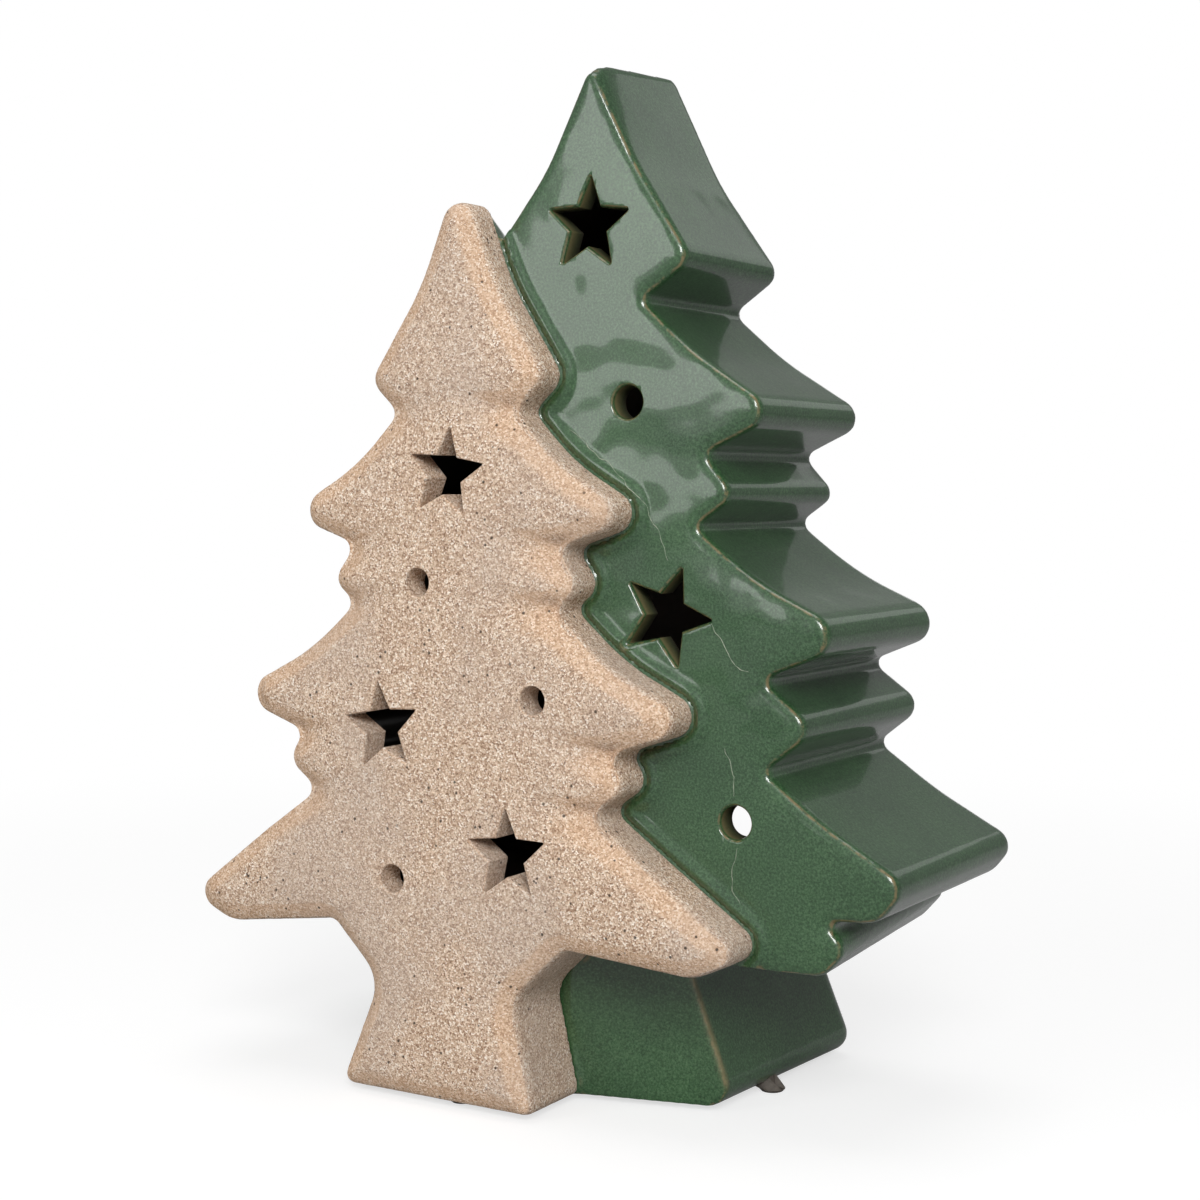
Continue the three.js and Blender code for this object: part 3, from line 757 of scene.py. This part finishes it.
def trunk_edge_line(points):
    """The pale line down the front right edge of the large tree's trunk."""
    x, y, z = points.T
    top, foot = large_right(TRUNK_LINE_SHARE)[-2:]
    edge = LARGE_AXIS + foot[0] + (top[0] - foot[0]) * z / top[1]
    across = np.exp(-((x - edge) / TRUNK_LINE_WIDTH) ** 2)
    return (z < TRUNK_TOP - TRUNK_LINE_DROP) * across * smoothstep(*TRUNK_LINE_DEPTH, y - trunk_plane(x))


def mark_rims(body):
    """Notes the thin line at each opening's inner edge, where the glaze runs off and pale clay shows."""
    points = to_tree(points_of(body))
    near = (points[:, 1] > -1) & (points[:, 1] < GREEN_RIM + RIM_LINE / 2)
    flat = points[near][:, [0, 2]]
    gap = np.full(len(flat), FAR)
    for outline in large_openings():
        distance, _ = edge_distance(flat, ring(outline, 0))
        gap = np.minimum(gap, distance)
    value = np.zeros(len(points), np.float32)
    past_rim = smoothstep(GREEN_RIM * 0.5, GREEN_RIM * 0.9, points[near, 1])
    value[near] = np.exp(-(gap / RIM_LINE) ** 2) * past_rim
    value += trunk_edge_line(points)
    attribute = body.data.attributes.new("rim", "FLOAT", "POINT")
    attribute.data.foreach_set("value", value)


def shape_green(body):
    """The glaze's swell away from the front face's edges, the bead along the sand coat, and slow waves."""
    points = to_tree(points_of(body))
    normals = normals_of(body)
    front = smoothstep(*FRONT_FACING, -normals[:, 1]) * smoothstep(*FRONT_DEPTH, points[:, 1])
    chosen = front > 0
    flat = points[chosen][:, [0, 2]]
    depth, inside = edge_distance(flat, ring(large_corners(0), LARGE_EDGE))
    depth = np.where(inside, depth, 0)
    swell = FACE_SWELL * (1 - np.exp(-depth / FACE_SWELL_LENGTH))
    seam, within = edge_distance(flat, ring(small_corners(0), 0))
    seam = np.where(within, -seam, seam)
    bead = BEAD_HEIGHT * np.exp(-((seam - BEAD_OFFSET) / BEAD_WIDTH) ** 2)
    groove = GROOVE_DEPTH * np.exp(-((seam - GROOVE_OFFSET) / GROOVE_WIDTH) ** 2)
    points[chosen, 1] -= front[chosen] * (swell + bead - groove)
    outer = points[:, 1] < rear_plane(points[:, 2]) + 1
    slow = sum(wave(points, length, seed) * 0.5 for seed, length in enumerate(RIPPLE_LENGTHS, 1))
    ripple = RIPPLE * (slow - 1) * 0.5
    points += normals * (ripple * outer)[:, None]
    set_points(body, to_row(points))


# Sand-coated front

def sand_front():
    corners = small_corners(0)
    front = [lift(ring(corners, inset), lambda z, b=back: small_front_plane(z) + b)
             for inset, back in edge_steps(SMALL_EDGE, SAND_EDGE_STEPS)]
    sand = loft("sand", [*front, lift(ring(corners, 0), SAND_BLANK_DEPTH)])
    inside = loft("sand_inside", [
        lift(ring(corners, SMALL_WALL), lambda z: small_front_plane(z) + SMALL_FRONT_WALL),
        lift(ring(corners, SMALL_WALL), SAND_HOLLOW_DEPTH),
    ])
    behind = box_solid("behind", (-FAR, SAND_LAP, -FAR), (FAR, FAR, FAR))
    combine(behind, [trunk_zone(TRUNK_FRONT_DEPTH)], "DIFFERENCE")
    combine(sand, [inside, behind], "DIFFERENCE")
    voxel(sand, SAND_VOXEL)
    relax(sand, SAND_RELAXING)
    shape_sand(sand)
    thin_out(sand, SAND_FACES)
    through = SMALL_FRONT_WALL + SAND_CUT_PAST
    cut_openings(sand, small_openings(), small_front_plane, through, SAND_RIM)
    sand.name = "sand_coated_front"
    return sand


def valley(flat, notch, inward):
    """How strongly the soft valley that runs in from a notch shows at each flat point, up to 1."""
    u = (flat - notch) @ inward
    v = (flat - notch) @ np.array([-inward[1], inward[0]]) * (1 if inward[0] > 0 else -1)
    along = np.exp(-(np.maximum(u, 0) / VALLEY_LENGTH) ** 2)
    across = np.exp(-(v / np.where(v > 0, VALLEY_UPPER, VALLEY_LOWER)) ** 2)
    return along * across


def valleys(flat):
    """All the valleys of the sand-coated face: deeper on the right side than on the left."""
    total = np.zeros(len(flat))
    corners = small_side(0, 0, SMALL_TRUNK_RIGHT)[:-1]
    notches = [(reach, z) for reach, z, rounding in corners if rounding == SMALL_NOTCH_ROUND]
    for sign, strength in ((1, 1.0), (-1, LEFT_VALLEYS)):
        inward = np.array([-sign, VALLEY_RISE]) / math.hypot(1, VALLEY_RISE)
        for reach, z in notches:
            notch = np.array([small_x(sign, reach, z), z])
            total = np.maximum(total, strength * valley(flat, notch, inward))
    return total * VALLEY_DEPTH


def shape_sand(sand):
    """Soft dips at the notches, and the grain of the coat."""
    points = to_tree(points_of(sand))
    normals = normals_of(sand)
    wall_left = small_front_plane(points[:, 2]) + SMALL_FRONT_WALL - points[:, 1]
    front = smoothstep(*SAND_FACING, -normals[:, 1]) * smoothstep(*SAND_KEEP, wall_left)
    chosen = front > 0
    flat = points[chosen][:, [0, 2]]
    depth, inside = edge_distance(flat, ring(small_corners(0), 0))
    depth = np.where(inside, depth, 0)
    past_edge = np.maximum(depth - SMALL_EDGE * SAND_SWELL_START, 0)
    dip = SAND_SWELL * np.exp(-past_edge / SAND_SWELL_LENGTH)
    points[chosen, 1] += front[chosen] * (dip + valleys(flat))
    grain = sum(height * (wave(points, length, seed) - 1) for height, length, seed in GRAINS)
    points += normals * grain[:, None]
    set_points(sand, to_row(points))


# Procedural materials


class Tree:
    """Shorthand for building a node tree."""

    def __init__(self, tree):
        self.tree = tree

    def add(self, kind, **settings):
        node = self.tree.nodes.new(kind)
        for key, value in settings.items():
            setattr(node, key, value)
        return node

    def link(self, source, target):
        self.tree.links.new(source, target)

    def feed(self, socket, value):
        """Links another node's output to a socket, or sets its plain value or colour."""
        if isinstance(value, bpy.types.NodeSocket):
            self.link(value, socket)
        elif isinstance(value, tuple):
            socket.default_value = (*value, 1)
        else:
            socket.default_value = value

    def math(self, operation, first, second):
        node = self.add("ShaderNodeMath", operation=operation)
        self.feed(node.inputs[0], first)
        self.feed(node.inputs[1], second)
        return node.outputs[0]

    def mask(self, value, low, high, start=0.0, end=1.0, kind="LINEAR"):
        """Goes from start at the value low to end at the value high, either way round."""
        node = self.add("ShaderNodeMapRange", interpolation_type=kind)
        self.link(value, node.inputs["Value"])
        for name, number in (("From Min", low), ("From Max", high), ("To Min", start), ("To Max", end)):
            node.inputs[name].default_value = number
        return node.outputs["Result"]

    def mix(self, factor, first, second, blend="MIX"):
        node = self.add("ShaderNodeMix", data_type="RGBA", blend_type=blend)
        for name, value in (("Factor", factor), ("A", first), ("B", second)):
            self.feed(node.inputs[name], value)
        return node.outputs["Result"]

    def mix_shaders(self, factor, first, second):
        node = self.add("ShaderNodeMixShader")
        for socket, value in zip(node.inputs, (factor, first, second)):
            self.link(value, socket)
        return node.outputs[0]

    def axis(self, vector, name):
        node = self.add("ShaderNodeSeparateXYZ")
        self.link(vector, node.inputs[0])
        return node.outputs[name]


class Nodes(Tree):
    """A material's node tree, with places on the object in millimetres."""

    def __init__(self, name):
        self.material = bpy.data.materials.new(name)
        self.material.use_nodes = True
        super().__init__(self.material.node_tree)
        self.shader = self.tree.nodes["Principled BSDF"]
        coordinates = self.add("ShaderNodeTexCoord")
        scaled = self.add("ShaderNodeVectorMath", operation="SCALE")
        scaled.inputs["Scale"].default_value = 1 / MM
        self.link(coordinates.outputs["Object"], scaled.inputs[0])
        self.place = scaled.outputs[0]
        self.facing = self.math("ABSOLUTE", self.axis(coordinates.outputs["Normal"], "Y"), 0.0)

    def set(self, **values):
        for key, value in values.items():
            self.feed(self.shader.inputs[key.replace("_", " ")], value)

    def noise(self, length, detail=2.0, rough=0.5):
        node = self.add("ShaderNodeTexNoise")
        for name, value in (("Scale", 1 / length), ("Detail", detail), ("Roughness", rough)):
            node.inputs[name].default_value = value
        self.link(self.place, node.inputs["Vector"])
        return node.outputs["Fac"]

    def cells(self, length, output="Color"):
        node = self.add("ShaderNodeTexVoronoi")
        node.inputs["Scale"].default_value = 1 / length
        self.link(self.place, node.inputs["Vector"])
        return node.outputs[output]

    def mark(self, name):
        """What mark_inside or mark_rims noted at each point."""
        return self.add("ShaderNodeAttribute", attribute_name=name).outputs["Fac"]

    def ramp(self, value, *stops):
        node = self.add("ShaderNodeValToRGB")
        elements = node.color_ramp.elements
        while len(elements) < len(stops):
            elements.new(0.5)
        for element, (position, color) in zip(elements, stops):
            element.position = position
            element.color = (*color, 1)
        self.link(value, node.inputs["Fac"])
        return node.outputs["Color"]

    def bump(self, height, distance, strength=1.0, before=None):
        """A bump of this many millimetres, on top of the one before."""
        node = self.add("ShaderNodeBump")
        node.inputs["Distance"].default_value = distance * MM
        self.feed(node.inputs["Strength"], strength)
        self.link(height, node.inputs["Height"])
        if before is not None:
            self.link(before, node.inputs["Normal"])
        return node.outputs["Normal"]


def glaze_material():
    """Glossy green glaze: fine speckle, slow drift of tone, thin olive lines where it breaks over edges, and
    near-black painted shade inside the hollow.
    """
    n = Nodes("green_glaze")
    speckle = n.ramp(
        n.noise(0.55, detail=3, rough=0.7),
        (0.33, (0.011, 0.042, 0.012)),
        (0.5, (0.027, 0.080, 0.028)),
        (0.68, (0.062, 0.138, 0.060)),
    )
    drift = n.ramp(n.noise(22, detail=3), (0.3, (0.82, 0.84, 0.84)), (0.7, (1.18, 1.14, 1.12)))
    base = n.mix(1.0, speckle, drift, "MULTIPLY")
    edge = n.math("MULTIPLY", n.mask(n.facing, 0.42, 0.58), n.mask(n.facing, 0.88, 0.76))
    broken = n.mask(n.noise(2.2, detail=3, rough=0.65), 0.40, 0.60)
    thin = n.math("MULTIPLY", edge, broken)
    base = n.mix(n.math("MULTIPLY", thin, 0.85), base, (0.19, 0.14, 0.058))
    base = n.mix(n.math("MULTIPLY", n.mark("rim"), 0.7), base, (0.26, 0.20, 0.10))
    inside = n.mark("inside")
    # Painted shade: inside the hollow the bare clay is coloured near black, for the shade that falls there
    base = n.mix(inside, base, (0.034, 0.028, 0.020))
    peel = n.bump(n.noise(3.2, detail=1), 0.04)
    grain = n.bump(n.noise(0.5), 0.012, before=peel)
    # The glaze's surface waves on the front face, and lies calmer on the sides
    long_waves = n.bump(n.noise(16.0, detail=1), 1.3, n.mask(n.facing, 0.8, 0.95))
    waves = n.bump(n.noise(7.0, detail=0), 0.08, n.mask(n.facing, -0.6, 1.0), before=long_waves)
    n.set(Base_Color=base, Roughness=0.35, IOR=1.5, Normal=grain)
    glazed = n.math("SUBTRACT", 1.0, inside)
    n.set(Coat_Weight=glazed, Coat_Roughness=0.08, Coat_IOR=1.5, Coat_Normal=waves)
    return n.material


def sand_material():
    """Matte coat of fine sand: cream, beige and brown grains, a few black ones, and a warm painted shade on
    the sloping ridges.
    """
    n = Nodes("sand_coat")
    grains = n.ramp(
        n.axis(n.cells(0.36), "X"),
        (0.0, (0.26, 0.155, 0.098)),
        (0.2, (0.46, 0.310, 0.212)),
        (0.5, (0.60, 0.440, 0.320)),
        (0.8, (0.76, 0.61, 0.475)),
        (1.0, (0.92, 0.84, 0.75)),
    )
    fine = n.ramp(n.noise(0.22, rough=0.7), (0.32, (0.64, 0.61, 0.58)), (0.68, (1.32, 1.32, 1.32)))
    base = n.mix(0.8, grains, fine, "MULTIPLY")
    cool = n.mask(n.noise(30), 0.42, 0.62)
    base = n.mix(n.math("MULTIPLY", cool, 0.35), base, (0.50, 0.415, 0.355))
    # Painted shade: the sloping flanks of the ridges are tinted warmer, for the warm shade under the notches
    flank_shade = n.math("MULTIPLY", n.mask(n.facing, 0.55, 0.8), n.mask(n.facing, 0.985, 0.92))
    base = n.mix(n.math("MULTIPLY", flank_shade, 0.28), base, (0.72, 0.44, 0.25))
    dark = n.mask(n.axis(n.cells(1.0), "Y"), 0.978, 0.985)
    centre = n.mask(n.cells(1.0, "Distance"), 0.42, 0.30)
    specks = n.math("MULTIPLY", dark, centre)
    base = n.mix(n.math("MULTIPLY", specks, 0.85), base, (0.03, 0.02, 0.015))
    rough = n.bump(n.cells(0.36, "Distance"), 0.14, 0.9)
    finer = n.bump(n.noise(0.22), 0.08, 0.9, before=rough)
    n.set(Base_Color=base, Roughness=0.95, Specular_IOR_Level=0.2, Normal=finer)
    return n.material


def plain_material(name, color, roughness, metallic=0.0, length=4.0, contrast=0.12, bump=0.01):
    """A moulded or rolled surface with a faint drift of tone and a fine texture."""
    n = Nodes(name)
    low = tuple(c * (1 - contrast) for c in color)
    high = tuple(min(c * (1 + contrast), 1) for c in color)
    tone = n.ramp(n.noise(length, detail=3), (0.3, low), (0.7, high))
    texture = n.bump(n.noise(length / 8), bump)
    n.set(Base_Color=tone, Roughness=roughness, Metallic=metallic, Normal=texture)
    return n.material


def flame_material():
    n = Nodes("flame_plastic")
    tone = n.ramp(n.noise(5), (0.3, (0.84, 0.66, 0.36)), (0.7, (0.93, 0.82, 0.55)))
    n.set(Base_Color=tone, Roughness=0.3, Subsurface_Weight=0.6, Subsurface_Scale=0.002)
    return n.material


def crack_material():
    n = Nodes("glaze_crack")
    tone = n.ramp(n.noise(1.5), (0.35, (0.12, 0.17, 0.11)), (0.65, (0.34, 0.38, 0.29)))
    n.set(Base_Color=tone, Roughness=0.4)
    return n.material


# Smaller CAD pieces, with softened edges


def dress(node, body, material, bevel=0.15, reshape=None):
    """A copy of a small CAD piece with rounded edges, which stands for it."""
    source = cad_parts[node]
    obj = bpy.data.objects.new(node + "_finished", source.data.copy())
    bpy.context.scene.collection.objects.link(obj)
    weld = obj.modifiers.new("weld", "WELD")
    weld.merge_threshold = WELD
    soften = obj.modifiers.new("soften", "BEVEL")
    soften.width = bevel * MM
    soften.segments = 2
    soften.limit_method = "ANGLE"
    soften.angle_limit = math.radians(SOFTEN_ANGLE)
    apply_modifiers(obj)
    if reshape:
        reshape(obj)
    finish_piece(obj, body, material, [node])
    return obj


def finish_piece(obj, body, material, nodes):
    obj.data.materials.clear()
    obj.data.materials.append(material)
    smooth(obj)
    weigh_normals(obj)
    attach(obj, body)
    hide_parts(*nodes)


def weigh_normals(obj):
    """Lets large faces set the shading, so that a rounding beside them doesn't bend it."""
    modifier = obj.modifiers.new("weigh", "WEIGHTED_NORMAL")
    modifier.keep_sharp = True
    apply_modifiers(obj)


def smooth(obj):
    """Smooth shading, with sharp edges kept."""
    obj.data.polygons.foreach_set("use_smooth", [True] * len(obj.data.polygons))
    work = bmesh.new()
    work.from_mesh(obj.data)
    limit = math.radians(SHARP_ANGLE)
    sharp = [len(edge.link_faces) == 2 and edge.calc_face_angle(0) > limit for edge in work.edges]
    work.free()
    attributes = obj.data.attributes
    attribute = attributes.get("sharp_edge") or attributes.new("sharp_edge", "BOOLEAN", "EDGE")
    attribute.data.foreach_set("value", sharp)
    obj.data.update()


def lathe(name, profile, centre, segments=96):
    """A closed profile of radius and height in millimetres, turned about an upright axis."""
    vertices = []
    for s in range(segments):
        angle = 2 * math.pi * s / segments
        for radius, height in profile:
            x = centre.x + radius * MM * math.cos(angle)
            y = centre.y + radius * MM * math.sin(angle)
            vertices.append((x, y, centre.z + height * MM))
    count = len(profile)
    faces = []
    for s in range(segments):
        t = (s + 1) % segments
        for i in range(count):
            j = (i + 1) % count
            faces.append((s * count + i, t * count + i, t * count + j, s * count + j))
    obj = make_object(name, vertices, faces)
    work = bmesh.new()
    work.from_mesh(obj.data)
    bmesh.ops.remove_doubles(work, verts=work.verts, dist=MERGE)
    bmesh.ops.dissolve_degenerate(work, edges=work.edges, dist=MERGE / 10)
    bmesh.ops.recalc_face_normals(work, faces=work.faces)
    work.to_mesh(obj.data)
    work.free()
    return obj


def flame_drop(material):
    """The hollow flame, on the same profile as its CAD solid."""
    low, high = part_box("flame_diffuser")
    centre = Vector(((low.x + high.x) / 2, (low.y + high.y) / 2, low.z))
    flange = (high.x - low.x) / 2 / MM
    tip = (high.z - low.z) / MM

    def drop(radius, top):
        rise = top - FLAME_NECK
        shares = [i / FLAME_STEPS for i in range(FLAME_STEPS)]
        side = [(radius * math.cos(math.pi / 2 * s ** FLAME_SWELL), FLAME_NECK + rise * s) for s in shares]
        return [*side, (0, top)]

    inner = FLAME_RADIUS - FLAME_WALL
    profile = [
        *reversed(drop(inner, tip - 2 * FLAME_WALL)),
        (inner, 0),
        (flange, 0),
        (flange, FLAME_LIP),
        (FLAME_RADIUS, FLAME_LIP),
        *drop(FLAME_RADIUS, tip),
    ]
    obj = lathe("flame_drop", profile, centre)
    finish_piece(obj, "tealight", material, ["flame_diffuser"])
    return obj


def seat_pad(pad, carriers, lean):
    """Brings a pad's upper side against the underside of the trunk that it is glued to."""
    points = to_tree(points_of(pad))
    top = np.flatnonzero(points[:, 2] > points[:, 2].max() - PAD_TOP)
    points[top, 0] -= lean
    for i in top:
        start = Vector(to_row(points[i]))
        for carrier in carriers:
            hit, place, _, _ = carrier.ray_cast(start, Vector((0, 0, 1)), distance=PAD_REACH * MM)
            if hit:
                points[i, 2] = to_tree(place)[2] + PAD_SINK
                break
    set_points(pad, to_row(points))


def crack_path(marks, surface, seed):
    """Points on the glaze along the marks, wandering a little to each side."""
    path = []
    for (x0, z0), (x1, z1) in zip(marks, marks[1:]):
        length = math.hypot(x1 - x0, z1 - z0)
        steps = max(int(length / CRACK_STEP), 1)
        for i in range(steps):
            t = i / steps
            x, z = x0 + (x1 - x0) * t, z0 + (z1 - z0) * t
            wander = WANDER * noise.noise(Vector((x * WANDER_RATE, z * WANDER_RATE, seed)))
            x, z = x - wander * (z1 - z0) / length, z + wander * (x1 - x0) / length
            start = Vector(to_row((x, CRACK_START_DEPTH, z)))
            hit, place, _, _ = surface.ray_cast(start, Vector((0, 1, 0)))
            if hit:
                path.append(np.array(place))
    return path


def glaze_cracks(surface, material):
    """Thin raised lines along the cracks, half sunk into the glaze and tapered at both ends."""
    vertices, faces = [], []
    inwards = np.array((0, 1, 0))
    angles = [2 * math.pi * k / CRACK_SIDES for k in range(CRACK_SIDES)]
    for seed, marks in enumerate(CRACKS):
        path = crack_path(marks, surface, seed)
        last = len(path) - 1
        for i, place in enumerate(path):
            along = path[min(i + 1, last)] - path[max(i - 1, 0)]
            along /= np.linalg.norm(along)
            across = np.cross(along, inwards)
            across /= np.linalg.norm(across)
            taper = min(1.0, TIP_SHARE + TAPER_RATE * min(i, last - i))
            base = len(vertices)
            for angle in angles:
                sideways = across * math.cos(angle) * CRACK_WIDTH / 2
                out = sideways + inwards * math.sin(angle) * CRACK_HEIGHT / 2
                vertices.append(place + out * taper * MM)
            if i == 0:
                faces.append(tuple(range(base, base + CRACK_SIDES)))
                continue
            for k in range(CRACK_SIDES):
                j = (k + 1) % CRACK_SIDES
                faces.append((base - CRACK_SIDES + k, base - CRACK_SIDES + j, base + j, base + k))
        faces.append(tuple(range(len(vertices) - CRACK_SIDES, len(vertices)))[::-1])
    obj = make_object("glaze_cracks", vertices, faces)
    recalculate(obj)
    obj.data.materials.append(material)
    smooth(obj)
    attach(obj, "ceramic")


def small_parts(carriers):
    ivory = plain_material("ivory_plastic", (0.80, 0.75, 0.62), 0.42)
    wax = plain_material("wax_look", (0.86, 0.80, 0.65), 0.38, length=7, bump=0.05)
    wire = plain_material("tinned_wire", (0.55, 0.56, 0.58), 0.3, 1.0)
    cell = plain_material("cell_steel", (0.60, 0.61, 0.62), 0.28, 1.0, length=1.5)
    spring = plain_material("spring_steel", (0.48, 0.50, 0.52), 0.35, 1.0)
    board = plain_material("board", (0.025, 0.10, 0.06), 0.5, length=2)
    black = plain_material("black_plastic", (0.012, 0.012, 0.013), 0.45)
    silicone = plain_material("silicone", (0.10, 0.085, 0.07), 0.7, length=1.2, contrast=0.3, bump=0.05)
    resin = plain_material("led_resin", (0.86, 0.68, 0.25), 0.15)
    for side, lean in (("right", PAD_LEAN), ("left", 0), ("front", 0), ("rear", 0)):
        def seat(pad):
            seat_pad(pad, carriers, lean)
        dress(f"foot_pad_{side}", "ceramic", silicone, 0.3, seat)
    dress("tealight_housing", "tealight", ivory, 0.25)
    dress("tealight_top", "tealight", wax, 0.3)
    dress("led_lamp", "tealight", resin)
    for node in ("led_lead_left", "led_lead_right"):
        dress(node, "tealight", wire, 0.08)
    dress("circuit_board", "tealight", board, 0.08)
    dress("coin_cell", "tealight", cell, 0.4)
    for node in ("contact_negative", "contact_positive"):
        dress(node, "tealight", spring, 0.06)
    dress("base_plate", "tealight", ivory, 0.12)
    dress("switch_body", "tealight", black)
    dress("battery_hatch", "hatch", ivory, 0.12)
    dress("switch_knob", "knob", black, 0.2)
    flame_drop(flame_material())


def make_camera():
    data = bpy.data.cameras.new("camera")
    data.lens = CAMERA_LENS
    data.sensor_width = CAMERA_SENSOR
    data.clip_start, data.clip_end = CAMERA_CLIP
    camera = bpy.data.objects.new("camera", data)
    bpy.context.scene.collection.objects.link(camera)
    level = Vector((-math.sin(CAMERA_YAW), math.cos(CAMERA_YAW), 0))
    right = Vector((math.cos(CAMERA_YAW), math.sin(CAMERA_YAW), 0))
    up = Vector((0, 0, 1))
    ahead = level * math.cos(CAMERA_PITCH) - up * math.sin(CAMERA_PITCH)
    above = right.cross(ahead)
    side = right * math.cos(CAMERA_ROLL) + above * math.sin(CAMERA_ROLL)
    top = side.cross(ahead)
    turn = Matrix((side, top, -ahead)).transposed().to_4x4()
    camera.matrix_world = Matrix.Translation(Vector(to_row(CAMERA_AT))) @ turn
    bpy.context.scene.camera = camera


def soft_box(name, at, width, height, watts):
    data = bpy.data.lights.new(name, "AREA")
    data.shape = "RECTANGLE"
    data.size = width
    data.size_y = height
    data.energy = watts
    light = bpy.data.objects.new(name, data)
    bpy.context.scene.collection.objects.link(light)
    light.location = at
    light.rotation_euler = (Vector(LIT_CENTRE) - Vector(at)).to_track_quat("-Z", "Y").to_euler()


def make_world():
    """Even studio light, and the white backdrop for the rays that meet it."""
    world = bpy.data.worlds.new("studio")
    bpy.context.scene.world = world
    world.use_nodes = True
    n = Tree(world.node_tree)
    path = n.add("ShaderNodeLightPath").outputs
    direction = n.add("ShaderNodeTexCoord").outputs["Generated"]
    # The white backdrop stands behind the part, so glossy rays meet it in those directions only
    towards = n.add("ShaderNodeVectorMath", operation="DOT_PRODUCT")
    towards.inputs[1].default_value = (-math.sin(CAMERA_YAW), math.cos(CAMERA_YAW), 0)
    n.link(direction, towards.inputs[0])
    glossy = n.math("MULTIPLY", path["Is Glossy Ray"], n.mask(towards.outputs["Value"], *BACKDROP_EDGE))
    through = n.math("MAXIMUM", path["Is Camera Ray"], path["Is Transmission Ray"])
    seen = n.math("MAXIMUM", through, glossy)
    ambient = n.mask(n.axis(direction, "Y"), *AMBIENT_SPAN, *AMBIENT)
    color = n.mix(seen, ambient, (1, 1, 1))
    n.link(color, n.tree.nodes["Background"].inputs["Color"])


def make_floor():
    """A pale floor that carries the shadow near the part and fades into the white background further off."""
    reach = FLOOR_REACH
    corners = [(-reach, -reach, 0), (reach, -reach, 0), (reach, reach, 0), (-reach, reach, 0)]
    floor = make_object("floor", corners, [(0, 1, 2, 3)])
    n = Nodes("floor")
    path = n.add("ShaderNodeLightPath").outputs
    n.set(Base_Color=(FLOOR_GREY, FLOOR_GREY, FLOOR_GREY), Roughness=0.9, Specular_IOR_Level=0.1)
    n.set(Emission_Color=(1, 1, 1), Emission_Strength=n.math("MULTIPLY", path["Is Camera Ray"], FLOOR_GLOW))
    distance = n.add("ShaderNodeVectorMath", operation="LENGTH")
    n.link(n.place, distance.inputs[0])
    start, end = FLOOR_FADE
    fade = n.mask(distance.outputs["Value"], start / MM, end / MM, kind="SMOOTHSTEP")
    shown = n.math("MULTIPLY", fade, path["Is Camera Ray"])
    white = n.add("ShaderNodeEmission").outputs[0]
    above = n.mix_shaders(shown, n.shader.outputs[0], white)
    # Seen from below, the floor lets the view through
    below = n.add("ShaderNodeNewGeometry").outputs["Backfacing"]
    clear = n.add("ShaderNodeBsdfTransparent").outputs[0]
    whole = n.mix_shaders(below, above, clear)
    n.link(whole, n.tree.nodes["Material Output"].inputs["Surface"])
    floor.data.materials.append(n.material)


glaze = glaze_material()
green = green_body()
finish_piece(green, "ceramic", glaze, ["large_tree_shell", "small_tree_back", "rear_wall"])
glaze_cracks(green, crack_material())
sand = sand_front()
finish_piece(sand, "ceramic", sand_material(), ["small_tree_front"])
small_parts([green, sand])
make_camera()
for box in SOFT_BOXES:
    soft_box(*box)
make_world()
make_floor()
bpy.context.scene.view_settings.view_transform = "Standard"
